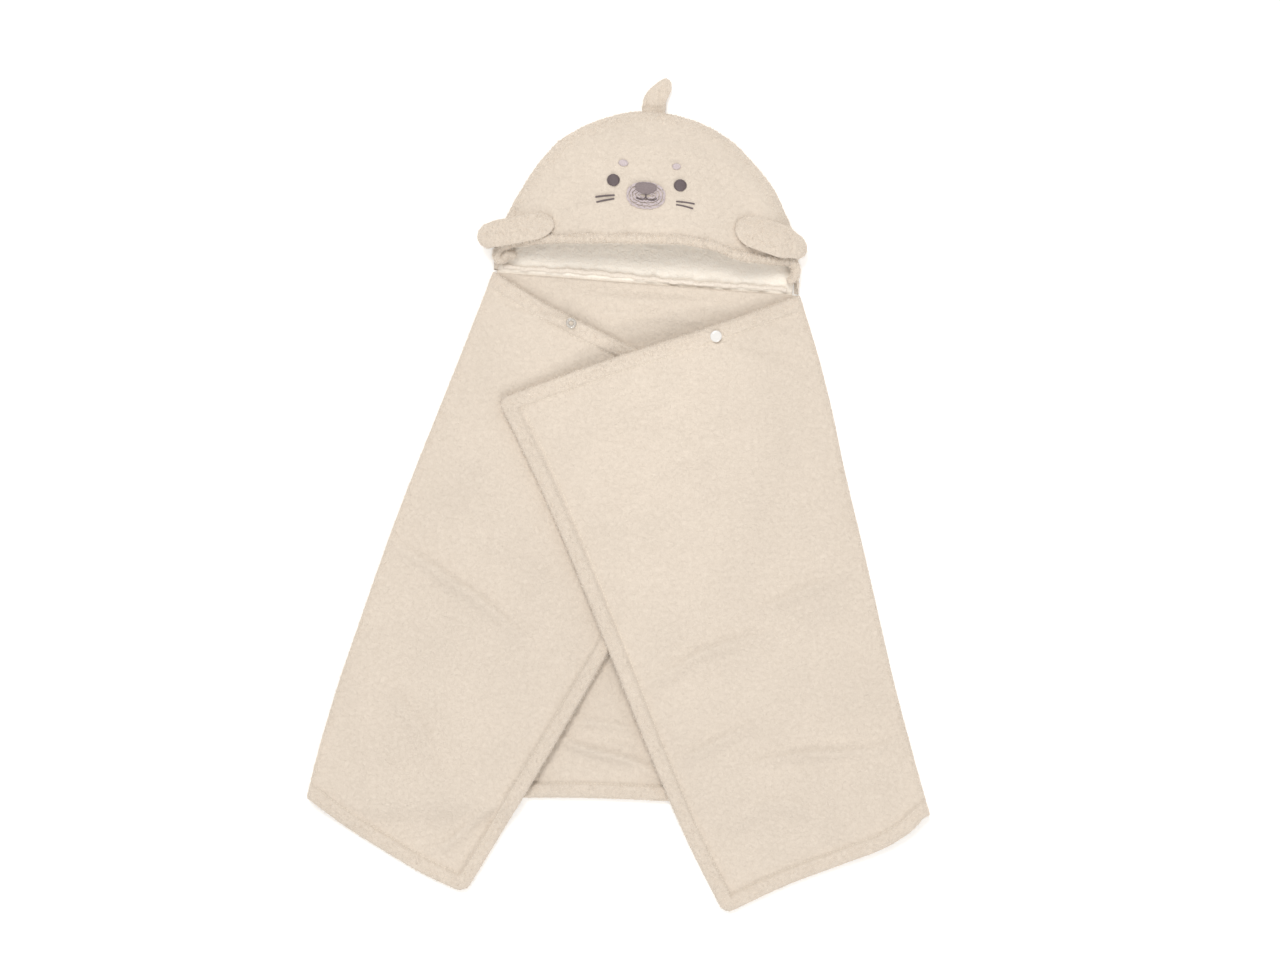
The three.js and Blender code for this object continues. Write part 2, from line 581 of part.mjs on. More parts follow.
buildBack();
buildNeckBinding();
buildFlap({
  side: "left",
  fold: leftFold,
  level: LEFT_LEVEL,
  radius: LEFT_FOLD_RADIUS,
  top: { length: LEFT_TOP_LENGTH, angle: LEFT_TOP_ANGLE },
  foot: { length: LEFT_FOOT_LENGTH, angle: LEFT_FOOT_ANGLE },
  snapReach: LEFT_SNAP_REACH,
});
buildFlap({
  side: "right",
  fold: rightFold,
  level: RIGHT_LEVEL,
  radius: RIGHT_FOLD_RADIUS,
  top: { length: RIGHT_TOP_LENGTH, angle: RIGHT_TOP_ANGLE },
  foot: { length: RIGHT_FOOT_LENGTH, angle: RIGHT_FOOT_ANGLE },
  snapReach: RIGHT_SNAP_REACH,
});
buildHood();
buildFace();
buildFlipper("left", LEFT_FLIPPER_TOUCH, LEFT_FLIPPER_FOLD_REACH, LEFT_FLIPPER_HEADING);
buildFlipper("right", RIGHT_FLIPPER_TOUCH, RIGHT_FLIPPER_FOLD_REACH, RIGHT_FLIPPER_HEADING);
buildTuft();

export default part;
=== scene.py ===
"""A hooded baby towel in long-pile cloth, laid on its back with both front flaps folded over."""
import math

import bpy
import numpy as np
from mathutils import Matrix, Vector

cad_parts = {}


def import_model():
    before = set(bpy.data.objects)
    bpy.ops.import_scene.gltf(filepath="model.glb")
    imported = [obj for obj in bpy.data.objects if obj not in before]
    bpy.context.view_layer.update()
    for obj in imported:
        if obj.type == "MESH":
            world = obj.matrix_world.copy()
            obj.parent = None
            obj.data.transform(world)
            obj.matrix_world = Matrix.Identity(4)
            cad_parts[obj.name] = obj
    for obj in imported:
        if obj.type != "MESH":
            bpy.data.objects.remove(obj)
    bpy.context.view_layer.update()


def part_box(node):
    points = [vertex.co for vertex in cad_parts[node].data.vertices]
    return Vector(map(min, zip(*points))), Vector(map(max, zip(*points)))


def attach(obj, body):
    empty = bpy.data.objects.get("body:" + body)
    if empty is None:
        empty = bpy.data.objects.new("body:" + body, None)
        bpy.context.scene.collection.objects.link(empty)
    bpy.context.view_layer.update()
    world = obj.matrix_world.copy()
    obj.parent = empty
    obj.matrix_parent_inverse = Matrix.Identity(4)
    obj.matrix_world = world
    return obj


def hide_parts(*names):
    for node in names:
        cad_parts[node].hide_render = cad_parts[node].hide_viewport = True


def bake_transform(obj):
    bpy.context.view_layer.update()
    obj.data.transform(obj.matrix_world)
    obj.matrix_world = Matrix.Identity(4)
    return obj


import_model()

MM = 0.001

# ------------------------------------------------------------------ sizes, in millimetres

PILE = 4.4            # one layer of cloth with its pile
HEM = 8.2             # a turned hem
HEM_WIDTH = 16.5      # from the edge in to its stitching
CORNER = 11.0         # the rounding of a hem's corner

HOOD_CENTRE = np.array([27.0, 272.5])
HOOD_TURN = math.radians(-4.6)
HOOD_HALF_WIDTH = 159.0
HOOD_LENGTH = 180.0
HOOD_RISE = 39.0
NECK_OFFSET = 5.0
NECK_HALF_WIDTH = 162.0

LEFT_FOOT = np.array([-330.0, -273.0])
RIGHT_FOOT = np.array([328.5, -291.0])

WORLD_LIGHT = 0.63
KEY_LIGHT = 482.0     # watts, as the two below
FILL_LIGHT = 170.0
MOUTH_LIGHT = 38.0

PILE_DENSITY = 230000.0   # tufts to a square metre

RASTER = 3.0          # the grid that the layers settle on


def hood_to_world(points):
    """Places in the hood's own frame (x along the neck, y to the crown), moved to the towel's frame."""
    points = np.asarray(points, float)
    c, s = math.cos(HOOD_TURN), math.sin(HOOD_TURN)
    moved = points.copy()
    moved[..., 0] = HOOD_CENTRE[0] + points[..., 0] * c - points[..., 1] * s
    moved[..., 1] = HOOD_CENTRE[1] + points[..., 0] * s + points[..., 1] * c
    return moved


def unit(vector):
    return vector / np.maximum(np.linalg.norm(vector, axis=-1, keepdims=True), 1e-9)


def smoothstep(low, high, x):
    t = np.clip((x - low) / (high - low), 0, 1)
    return t * t * (3 - 2 * t)


def travelled(line):
    """How far along a line each of its points is."""
    return np.concatenate([[0], np.cumsum(np.linalg.norm(np.diff(line, axis=0), axis=1))])


def rounded(share, least):
    """The share of its width that a body has near a rounded end, with share 0 at the end and 1 past the rounding."""
    return np.sqrt(np.clip(1 - (1 - np.clip(share, 0, 1)) ** 2, least, 1))


def spline(t, knots):
    """A smooth line through (place, value) knots."""
    x = np.array([k[0] for k in knots], float)
    y = np.array([k[1] for k in knots], float)
    slope = np.gradient(y, x)
    i = np.clip(np.searchsorted(x, t) - 1, 0, len(x) - 2)
    h = x[i + 1] - x[i]
    s = np.clip((t - x[i]) / h, 0, 1)
    return (y[i] * (1 + 2 * s) * (1 - s) ** 2 + slope[i] * h * s * (1 - s) ** 2
            + y[i + 1] * s * s * (3 - 2 * s) - slope[i + 1] * h * s * s * (1 - s))


def bowed(a, b, knots=((0, 0), (1, 0))):
    """A nearly straight edge from a to b. Positive bow is to the right of the way from a to b."""
    a, b = np.asarray(a, float), np.asarray(b, float)
    way = unit(b - a)
    right = np.array([way[1], -way[0]])

    def edge(t):
        t = np.asarray(t, float)
        return a + (b - a) * t[..., None] + right * spline(t, knots)[..., None]
    return edge


neck_left = hood_to_world([-NECK_HALF_WIDTH, NECK_OFFSET])
neck_right = hood_to_world([NECK_HALF_WIDTH, NECK_OFFSET])
left_top = neck_left + 6 * unit(LEFT_FOOT - neck_left)
right_top = neck_right + 6 * unit(RIGHT_FOOT - neck_right)
left_corner = np.array([145.7, 143.8])
right_corner = np.array([-128.0, 148.5])
left_tip = np.array([-163.0, -374.0])
right_tip = np.array([112.5, -396.0])

# Edges of the cloth, each with the slight bow that soft cloth lies in
left_fold = bowed(left_top, LEFT_FOOT,
                  ((0, -3), (0.14, 0), (0.25, 3), (0.48, 8.3), (0.65, 9), (0.82, 8), (0.94, 4), (1, 0)))
right_fold = bowed(RIGHT_FOOT, right_top,
                   ((0, 0.5), (0.1, -1), (0.22, -2), (0.5, 0.8), (0.67, 2), (0.78, 4.4), (0.9, 4), (1, 1)))
FOOT_BOW = ((0, 0), (0.25, -4), (0.45, -8), (0.58, -7), (0.8, -5), (1, 0))
back_foot = bowed(LEFT_FOOT, RIGHT_FOOT, FOOT_BOW)
left_hem_top = bowed(left_top, left_corner, ((0, 0), (0.2, 5), (0.42, 5.5), (0.62, 5), (1, 0)))
left_hem_edge = bowed(left_tip, left_corner, ((0, 0), (0.3, 1), (0.6, 0), (1, 0)))
left_hem_foot = bowed(LEFT_FOOT, left_tip, ((0, 0), (0.2, 4.5), (0.5, 6), (0.78, 5), (1, 0)))
right_hem_top = bowed(right_corner, right_top, ((0, 0), (0.4, -1.5), (0.7, 0.5), (1, 0)))
right_hem_edge = bowed(right_corner, right_tip, ((0, 0), (0.16, -3.4), (0.48, 0), (0.7, 4.6), (0.88, 5), (1, 1)))
right_hem_foot = bowed(right_tip, RIGHT_FOOT, ((0, 0), (0.33, 1.5), (0.59, 7.5), (0.82, 11), (0.95, 6), (1, 1)))


# ------------------------------------------------------------------ meshes

def new_piece(name, points, faces, material):
    """A mesh object from points in millimetres, with each point's place kept for the cloth's pattern.
    faces are triangles written with their last corner twice, or quads, and are turned outward."""
    name = name.lower().replace(" ", "_") + "_piece"
    mesh = bpy.data.meshes.new(name)
    points = np.asarray(points, float) * MM
    faces = np.asarray(faces)
    corners = points[faces]
    volume = sum(np.einsum("ij,ij->i", corners[:, 0], np.cross(corners[:, k], corners[:, k + 1])).sum()
                 for k in (1, 2))
    triangles = faces[:, 2] == faces[:, 3]
    if volume < 0:
        faces = np.where(triangles[:, None], faces[:, [1, 0, 2, 3]], faces[:, ::-1])
        triangles = faces[:, 2] == faces[:, 3]
    mesh.vertices.add(len(points))
    mesh.vertices.foreach_set("co", points.ravel())
    sizes = np.where(triangles, 3, 4)
    mesh.loops.add(int(sizes.sum()))
    keep = np.arange(4)[None, :] < sizes[:, None]
    mesh.loops.foreach_set("vertex_index", faces[keep].astype(np.int32))
    mesh.polygons.add(len(faces))
    mesh.polygons.foreach_set("loop_start", np.concatenate([[0], np.cumsum(sizes)[:-1]]).astype(np.int32))
    mesh.polygons.foreach_set("use_smooth", np.ones(len(faces), bool))
    mesh.update(calc_edges=True)
    keep_places(mesh)
    mesh.materials.append(material)
    piece = bpy.data.objects.new(name, mesh)
    bpy.context.scene.collection.objects.link(piece)
    return piece


def keep_places(mesh):
    """Writes each point's place on the mesh, so that a pattern stays on the cloth when it bends."""
    places = np.empty(len(mesh.vertices) * 3, np.float32)
    mesh.vertices.foreach_get("co", places)
    attribute = mesh.attributes.get("place") or mesh.attributes.new("place", "FLOAT_VECTOR", "POINT")
    attribute.data.foreach_set("vector", places)


def quads(a, b, c, d):
    """Faces from four grids of corners."""
    return np.stack([a, b, c, d], -1).reshape(-1, 4)


def shell(upper, lower, open_end, shared_sides):
    """Points and faces of a closed shell from two grids [i, j]. Row i=0 is closed with a wall, row i=-1 with one or
    with shared points, and so are columns j=0 and j=-1."""
    ni, nj = upper.shape[:2]
    top = np.arange(ni * nj).reshape(ni, nj)
    bottom = top + ni * nj
    if shared_sides:
        bottom[:, 0] = top[:, 0]
        bottom[:, -1] = top[:, -1]
    if not open_end:
        bottom[-1] = top[-1]
    faces = [quads(top[:-1, :-1], top[1:, :-1], top[1:, 1:], top[:-1, 1:]),
             quads(bottom[:-1, :-1], bottom[:-1, 1:], bottom[1:, 1:], bottom[1:, :-1]),
             quads(top[0, :-1], top[0, 1:], bottom[0, 1:], bottom[0, :-1])]
    if open_end:
        faces.append(quads(top[-1, 1:], top[-1, :-1], bottom[-1, :-1], bottom[-1, 1:]))
    if not shared_sides:
        faces.append(quads(top[1:, 0], top[:-1, 0], bottom[:-1, 0], bottom[1:, 0]))
        faces.append(quads(top[:-1, -1], top[1:, -1], bottom[1:, -1], bottom[:-1, -1]))
    return tidy(np.concatenate([upper.reshape(-1, 3), lower.reshape(-1, 3)]), np.concatenate(faces))


def tidy(points, faces):
    """Drops unused points, and faces that have shrunk to a line."""
    a, b, c, d = faces.T
    flat = ((a == b) & (c == d)) | ((a == d) & (b == c)) | ((a == b) & (b == c)) | ((a == c))
    faces = faces[~flat]
    a, b, c, d = faces.T
    # a quad with two equal corners becomes a triangle, written with its last corner twice
    faces = np.where((a == b)[:, None], np.stack([b, c, d, d], -1), faces)
    a, b, c, d = faces.T
    faces = np.where(((b == c) & (c != d))[:, None], np.stack([a, c, d, d], -1), faces)
    a, b, c, d = faces.T
    faces = np.where(((d == a) & (c != d))[:, None], np.stack([a, b, c, c], -1), faces)
    used, index = np.unique(faces, return_inverse=True)
    return points[used], index.reshape(faces.shape)


def patch(foot, top, start, end, u, v):
    """A grid [u, v] of places inside four edges: foot and top run from start to end, start and end from foot to top."""
    f, t, s, e = foot(u), top(u), start(v), end(v)
    U, V = u[:, None, None], v[None, :, None]
    grid = (1 - V) * f[:, None] + V * t[:, None] + (1 - U) * s[None] + U * e[None]
    corners = (1 - U) * (1 - V) * f[0] + U * (1 - V) * f[-1] + (1 - U) * V * t[0] + U * V * t[-1]
    return grid - corners


def spacing(length, fine_start, fine_end, step=3.6):
    """Places from 0 to 1 along a length, close together near a hemmed edge."""
    hem = np.array([0, 0.25, 0.8, 1.7, 3.0, 4.8, 7.0, 9.4, 11.6, 13.4, 14.8, 15.8, 16.5, 17.2, 18.2, 19.6, 21.6, 24.4])
    start = hem if fine_start else np.array([0.0])
    end = length - hem[::-1] if fine_end else np.array([length])
    count = max(2, int((end[0] - start[-1]) / step))
    middle = np.linspace(start[-1], end[0], count + 1)[1:-1]
    return np.concatenate([start, middle, end]) / length


def distance_to(points, line):
    """How far each place is from a line of points, and where the nearest point of that line is."""
    best = np.full(points.shape[:-1], 1e9)
    foot = np.zeros(points.shape)
    for p, q in zip(line[:-1], line[1:]):
        d = q - p
        t = np.clip(((points - p) @ d) / (d @ d), 0, 1)
        near = p + t[..., None] * d
        far = np.linalg.norm(points - near, axis=-1)
        closer = far < best
        best = np.where(closer, far, best)
        foot[closer] = near[closer]
    return best, foot


def inside(points, outline):
    """True for the places inside a closed outline."""
    x, y = points[..., 0], points[..., 1]
    result = np.zeros(x.shape, bool)
    for (x0, y0), (x1, y1) in zip(outline, np.roll(outline, -1, 0)):
        if y0 == y1:
            continue
        crosses = (y0 > y) != (y1 > y)
        result ^= crosses & (x < (x1 - x0) * (y - y0) / (y1 - y0) + x0)
    return result


def noise(points, size, seed):
    """Smooth random values of about -1 to 1 over places in the plane, with bumps of a size."""
    rng = np.random.default_rng(seed)
    table = rng.uniform(-1, 1, (64, 64))
    p = np.asarray(points)[..., :2] / size
    i = np.floor(p).astype(int)
    f = p - i
    f = f * f * (3 - 2 * f)
    i0, j0 = i[..., 0] % 64, i[..., 1] % 64
    i1, j1 = (i0 + 1) % 64, (j0 + 1) % 64
    low = table[i0, j0] * (1 - f[..., 0]) + table[i1, j0] * f[..., 0]
    high = table[i0, j1] * (1 - f[..., 0]) + table[i1, j1] * f[..., 0]
    return low * (1 - f[..., 1]) + high * f[..., 1]


# ------------------------------------------------------------------ how cloth is thick, hemmed and creased

def hem_half(d, gain=1.0):
    """Half the cloth's thickness at a distance in from a hemmed edge, before the edge is rounded.
    gain is how much the hem stands out."""
    turned = 1 - smoothstep(13.5, 19.5, d)
    puff = 0.55 * np.sin(np.pi * np.clip((d - 1) / 14.5, 0, 1))
    stitched = 0.9 * np.exp(-((d - HEM_WIDTH) / 1.7) ** 2)
    return PILE / 2 + gain * ((HEM - PILE) / 2 * turned + puff - stitched)


def edge_round(d, half):
    """The share of its half thickness that cloth has left near its rounded edge."""
    r = HEM / 2
    return np.where(d < r, np.sqrt(np.clip(1 - (1 - np.clip(d, 0, r) / r) ** 2, 0, 1)), 1.0) * half


def round_corner(grid, lines, distances):
    """Draws in the places near each pair of neighbouring hemmed edges, so that their corner is round."""
    depth = np.min(distances, 0)
    for k in range(len(lines) - 1):
        d1, d2 = distances[k], distances[k + 1]
        near = (d1 < CORNER) & (d2 < CORNER)
        a, b = 1 - d1[near] / CORNER, 1 - d2[near] / CORNER
        a2, b2 = a * np.sqrt(1 - b * b / 2), b * np.sqrt(1 - a * a / 2)
        way1 = way_in(lines[k], grid)
        way2 = way_in(lines[k + 1], grid)
        grid[near] += (a - a2)[:, None] * CORNER * way1 + (b - b2)[:, None] * CORNER * way2
        depth[near] = CORNER * (1 - np.hypot(a2, b2))
    return np.clip(depth, 0, None)


def way_in(line, grid):
    """The way from an edge into the cloth."""
    run = unit(line[-1] - line[0])
    side = np.array([-run[1], run[0]])
    centre = grid.reshape(-1, 2).mean(0)
    return side if (centre - line[0]) @ side > 0 else -side


def crease(points, line, height, width, skew=1.0):
    """A soft ridge along a line, that fades at its ends. With skew over 1 its right side is the gentler one."""
    line = np.asarray(line, float)
    t = np.linspace(0, len(line) - 1, 8 * (len(line) - 1) + 1)
    knots = np.arange(len(line))
    smooth = np.stack([spline(t, list(zip(knots, line[:, k]))) for k in (0, 1)], -1)
    d, foot = distance_to(points, smooth)
    length = np.linalg.norm(np.diff(smooth, axis=0), axis=1).sum()
    run = unit(smooth[-1] - smooth[0])
    place = (foot - smooth[0]) @ run / np.linalg.norm(smooth[-1] - smooth[0])
    fade = np.sin(np.pi * np.clip(0.06 + 0.88 * place, 0, 1)) ** 0.7
    side = (points - foot) @ np.array([run[1], -run[0]])
    w = np.where(side > 0, width * skew, width) * 0.55
    height = height * 1.5
    over = np.clip(np.abs((points - smooth[0]) @ run - length / 2) - length / 2, 0, None)
    return height * fade * np.exp(-(d / w) ** 2) * np.exp(-(over / width) ** 2)


BACK_CREASES = (
    (((-66, -206), (-40, -219), (6, -231), (34, -242)), 5.0, 7, 1.8),
    (((-50, -188), (-10, -196), (20, -199)), 2.5, 8, 1.4),
    (((-20, -212), (14, -222)), 2.0, 6, 1.0),
    (((-60, 262), (0, 255), (70, 252), (120, 246)), 1.6, 10, 1.0),
    (((-30, 242), (40, 238), (90, 231)), 1.3, 9, 1.0),
)
LEFT_CREASES = (
    (((-250, 4), (-212, -18), (-179, -41), (-142, -66), (-92, -111)), 4.4, 9, 1.9),
    (((-146, 0), (-105, -22), (-64, -46)), 1.8, 9, 1.5),
    (((-253, -144), (-211, -196), (-196, -238)), 3.2, 11, 2.0),
    (((-204, -330), (-178, -318), (-140, -284), (-118, -274)), 3.4, 8, 1.7),
    (((-130, 252), (-108, 240), (-70, 233), (-28, 226)), 2.2, 9, 1.4),
    (((-220, 60), (-180, 44), (-120, 30)), 1.2, 14, 1.3),
    (((-290, -200), (-250, -232), (-222, -262)), 1.5, 14, 1.3),
)
RIGHT_CREASES = (
    (((22, -154), (60, -136), (84, -121), (120, -108), (160, -99)), 3.8, 9, 1.9),
    (((143, -76), (193, -54), (231, -40)), 3.4, 8, 2.0),
    (((58, -236), (120, -205), (149, -192)), 3.0, 8, 1.8),
    (((140, -236), (193, -226), (242, -223), (276, -219), (293, -210)), 3.8, 7, 1.8),
    (((118, -300), (156, -278), (190, -282), (230, -302)), 2.8, 12, 1.5),
    (((150, 228), (185, 212), (205, 205)), 2.0, 10, 1.4),
    (((118, 200), (165, 186), (200, 170)), 1.6, 11, 1.3),
    (((0, 40), (60, 62), (120, 86)), 1.5, 14, 1.5),
    (((30, -20), (90, 6), (150, 30)), 1.3, 13, 1.5),
    (((-20, 120), (40, 112), (100, 96)), 1.1, 16, 1.0),
)


def creased(points, creases, seed):
    """All the creases of a piece of cloth, on a slight unevenness of its own."""
    rise = 0.55 * (1 + noise(points, 46, seed)) + 0.25 * (1 + noise(points, 19, seed + 1))
    for line, height, width, skew in creases:
        rise = rise + crease(points, line, height, width, skew)
    return rise


# ------------------------------------------------------------------ how the layers settle on each other

xs = np.arange(-420, 421, RASTER)
ys = np.arange(-470, 351, RASTER)
raster = np.stack(np.meshgrid(xs, ys, indexing="ij"), -1)


def spread(field, reach, widest):
    """Widens (widest) or blurs a field by a reach in millimetres."""
    n = max(1, int(round(reach / RASTER)))
    result = field
    for axis in (0, 1):
        if widest:
            result = np.max([np.roll(result, k, axis) for k in range(-n, n + 1)], 0)
        else:
            weights = np.exp(-0.5 * (np.arange(-3 * n, 3 * n + 1) / n) ** 2)
            weights /= weights.sum()
            result = sum(w * np.roll(result, k, axis) for w, k in zip(weights, range(-3 * n, 3 * n + 1)))
    return result


def settle(support, widen, soften):
    """The underside of cloth laid on a support: it bridges small steps and slopes down big ones."""
    laid = spread(spread(support, widen, True), soften, False)
    return spread(np.maximum(laid, support + 0.25), 3, False)


def read(field, points):
    """A raster field's value at places."""
    x = np.clip((points[..., 0] - xs[0]) / RASTER, 0, len(xs) - 1.001)
    y = np.clip((points[..., 1] - ys[0]) / RASTER, 0, len(ys) - 1.001)
    i, j = x.astype(int), y.astype(int)
    fx, fy = x - i, y - j
    return (field[i, j] * (1 - fx) * (1 - fy) + field[i + 1, j] * fx * (1 - fy)
            + field[i, j + 1] * (1 - fx) * fy + field[i + 1, j + 1] * fx * fy)


steps = np.linspace(0, 1, 60)
back_outline = np.concatenate([back_foot(steps), right_fold(steps), left_fold(steps)])
left_outline = np.concatenate([left_hem_foot(steps), left_hem_edge(steps), left_hem_top(steps)[::-1],
                               left_fold(steps)])

back_hem_depth = distance_to(raster, back_foot(steps))[0]
back_upper = np.where(inside(raster, back_outline),
                      2 * edge_round(back_hem_depth, hem_half(back_hem_depth)) + creased(raster, BACK_CREASES, 3), 0)
left_under = settle(back_upper, 18, 9)
left_depth = np.min([distance_to(raster, e(steps))[0] for e in (left_hem_foot, left_hem_edge, left_hem_top)], 0)
left_rise = creased(raster, LEFT_CREASES, 7)
left_upper = np.where(inside(raster, left_outline),
                      left_under + left_rise + 2 * edge_round(left_depth, hem_half(left_depth)), 0)
right_under = settle(np.maximum(back_upper, left_upper), 36, 20)


# ------------------------------------------------------------------ the flat layers of cloth

def layer(grid, lines, gains, under, rise):
    """A piece of cloth over a grid of places. lines are its hemmed edges, next to each other in turn, and gains is
    how much each hem stands out. under is the raster it lies on. Returns its points [i, j] above and below."""
    distances = [distance_to(grid, line)[0] for line in lines]
    grid = grid.copy()
    depth = round_corner(grid, lines, distances)
    near = 1 / (np.array(distances) + 1.5) ** 3
    gain = np.tensordot(np.array(gains), near, 1) / near.sum(0)
    full = hem_half(np.maximum(depth, HEM / 2), gain)
    half = edge_round(depth, full)
    nap = 0.32 * noise(grid, 6.5, 11) + 0.16 * noise(grid, 3.7, 12)
    middle = (read(under, grid) if under is not None else 0) + rise(grid) + full
    share = smoothstep(0, 5, depth)
    top = np.dstack([grid, middle + half + nap * share])
    bottom = np.dstack([grid, middle - half])
    return top, bottom


# ------------------------------------------------------------------ materials

def node(tree, kind, entries=(), **settings):
    """A node, with its settings, and the values of its inputs as (name, value)."""
    made = tree.nodes.new(kind)
    for key, value in settings.items():
        setattr(made, key, value)
    for key, value in entries:
        made.inputs[key].default_value = value
    return made


def wire(tree, *links):
    """Joins nodes, each link given as a node and its output, then a node and its input."""
    for source, output, target, entry in links:
        tree.links.new(source.outputs[output], target.inputs[entry])


def nap_group():
    """The pile's own pattern: fibre height, shade and patchiness, from a place on the cloth."""
    tree = bpy.data.node_groups.new("Pile nap", "ShaderNodeTree")
    for way, names in (("INPUT", ("Clump", "Fibre")), ("OUTPUT", ("Height", "Shade", "Patch"))):
        for name in names:
            tree.interface.new_socket(name, in_out=way, socket_type="NodeSocketFloat")
    source, out = node(tree, "NodeGroupInput"), node(tree, "NodeGroupOutput")
    place = node(tree, "ShaderNodeAttribute", attribute_name="place")
    stretch = node(tree, "ShaderNodeMapping", [("Scale", (1.0, 0.55, 1.0))])
    clump = node(tree, "ShaderNodeTexNoise", [("Detail", 4), ("Roughness", 0.6), ("Distortion", 0.6)])
    fibre = node(tree, "ShaderNodeTexNoise", [("Detail", 3), ("Roughness", 0.7)])
    broad = node(tree, "ShaderNodeTexNoise", [("Scale", 16), ("Detail", 3)])
    both = node(tree, "ShaderNodeMath", [(1, 0.45)], operation="MULTIPLY_ADD")
    wire(tree, (place, "Vector", stretch, "Vector"),
         (source, "Clump", clump, "Scale"), (source, "Fibre", fibre, "Scale"),
         (place, "Vector", clump, "Vector"), (stretch, "Vector", fibre, "Vector"), (place, "Vector", broad, "Vector"),
         (fibre, "Fac", both, 0), (clump, "Fac", both, 2),
         (both, "Value", out, "Height"), (clump, "Fac", out, "Shade"), (broad, "Fac", out, "Patch"))
    return tree


nap = nap_group()


def new_material(name, entries):
    """A material, its node tree and its surface, with values on the surface's inputs."""
    material = bpy.data.materials.new(name)
    material.use_nodes = True
    surface = material.node_tree.nodes["Principled BSDF"]
    for key, value in entries:
        surface.inputs[key].default_value = value
    return material, material.node_tree, surface


def two_tone(tree, low, high, start, end):
    """A ramp from one colour at start to another at end."""
    ramp = node(tree, "ShaderNodeValToRGB")
    for stop, place, colour in zip(ramp.color_ramp.elements, (start, end), (low, high)):
        stop.position = place
        stop.color = (*colour, 1)
    return ramp


def cloth_material(name, low, high, clump=170, fibre=900, depth=0.9):
    """Pile cloth: from the shade between the tufts (low) to their tips (high)."""
    material, tree, surface = new_material(name, [
        ("Roughness", 0.95), ("Specular IOR Level", 0.15), ("Sheen Weight", 0.35), ("Sheen Roughness", 0.55),
        ("Sheen Tint", (1.0, 0.96, 0.9, 1))])
    pattern = node(tree, "ShaderNodeGroup", [("Clump", clump), ("Fibre", fibre)], node_tree=nap)
    ramp = two_tone(tree, low, high, 0.3, 0.72)
    tone = node(tree, "ShaderNodeMapRange",
                [("From Min", 0.3), ("From Max", 0.7), ("To Min", 0.955), ("To Max", 1.0)])
    patchy = node(tree, "ShaderNodeMix", [("Factor", 1)], data_type="RGBA", blend_type="MULTIPLY")
    bump = node(tree, "ShaderNodeBump", [("Strength", depth), ("Distance", 0.0016)])
    wire(tree, (pattern, "Shade", ramp, "Fac"), (pattern, "Patch", tone, "Value"),
         (ramp, "Color", patchy, "A"), (tone, "Result", patchy, "B"), (patchy, "Result", surface, "Base Color"),
         (pattern, "Height", bump, "Height"), (bump, "Normal", surface, "Normal"))
    return material


def thread_material(name, colour, spread=0.12):
    """Twisted rayon thread, with a slight change of tone from stitch to stitch."""
    material, tree, surface = new_material(name, [("Roughness", 0.42), ("Sheen Weight", 0.25)])
    place = node(tree, "ShaderNodeAttribute", attribute_name="place")
    grain = node(tree, "ShaderNodeTexNoise", [("Scale", 900)])
    ramp = two_tone(tree, [c * (1 - spread) for c in colour], [min(1, c * (1 + spread)) for c in colour], 0.35, 0.7)
    wire(tree, (place, "Vector", grain, "Vector"), (grain, "Fac", ramp, "Fac"),
         (ramp, "Color", surface, "Base Color"))
    return material


def plastic_material(name, colour, rough, coat=0.5, transmission=0.0):
    """Moulded plastic, with a slight wear in its shine."""
    material, tree, surface = new_material(name, [
        ("Base Color", (*colour, 1)), ("Coat Weight", coat), ("Transmission Weight", transmission)])
    place = node(tree, "ShaderNodeAttribute", attribute_name="place")
    scuffs = node(tree, "ShaderNodeTexNoise", [("Scale", 500)])
    wear = node(tree, "ShaderNodeMapRange", [("To Min", rough * 0.8), ("To Max", rough * 1.3)])
    wire(tree, (place, "Vector", scuffs, "Vector"), (scuffs, "Fac", wear, "Value"),
         (wear, "Result", surface, "Roughness"))
    return material


CREAM = cloth_material("Cream pile", (0.69, 0.603, 0.512), (0.78, 0.69, 0.593), clump=260)
# Painted light: the tufts are lighter than the cream cloth, to offset the shade on their own sides and so that the hems
# look lit.
LIGHTENED_PILE_TIPS = cloth_material("Pile tips with painted light", (0.92, 0.83, 0.735), (0.98, 0.92, 0.84), depth=0.2)
# Painted light: the lining is lighter than the cream pile, to offset the shade that the hood and brim cast on it.
LIGHTENED_LINING = cloth_material("Lining with painted light", (0.93, 0.855, 0.76), (0.97, 0.92, 0.84), clump=230, depth=0.7)
TAPE = cloth_material("Binding tape", (0.75, 0.67, 0.58), (0.87, 0.80, 0.72), clump=420, fibre=1500, depth=0.4)
FELT = cloth_material("Backing felt", (0.62, 0.57, 0.5), (0.74, 0.7, 0.63), clump=500, depth=0.4)
DARK = thread_material("Dark embroidery thread", (0.125, 0.094, 0.10))
NOSE = thread_material("Nose embroidery thread", (0.26, 0.21, 0.215))
LILAC = thread_material("Lilac embroidery thread", (0.60, 0.52, 0.535), 0.08)
PALE = thread_material("Cream sewing thread", (0.84, 0.77, 0.66), 0.06)
PEARL = plastic_material("Pearl snap", (0.77, 0.755, 0.735), 0.22, 0.8)
CLEAR = plastic_material("Clear snap", (0.80, 0.76, 0.71), 0.18, 0.5, 0.45)


# ------------------------------------------------------------------ shapes that are swept or turned

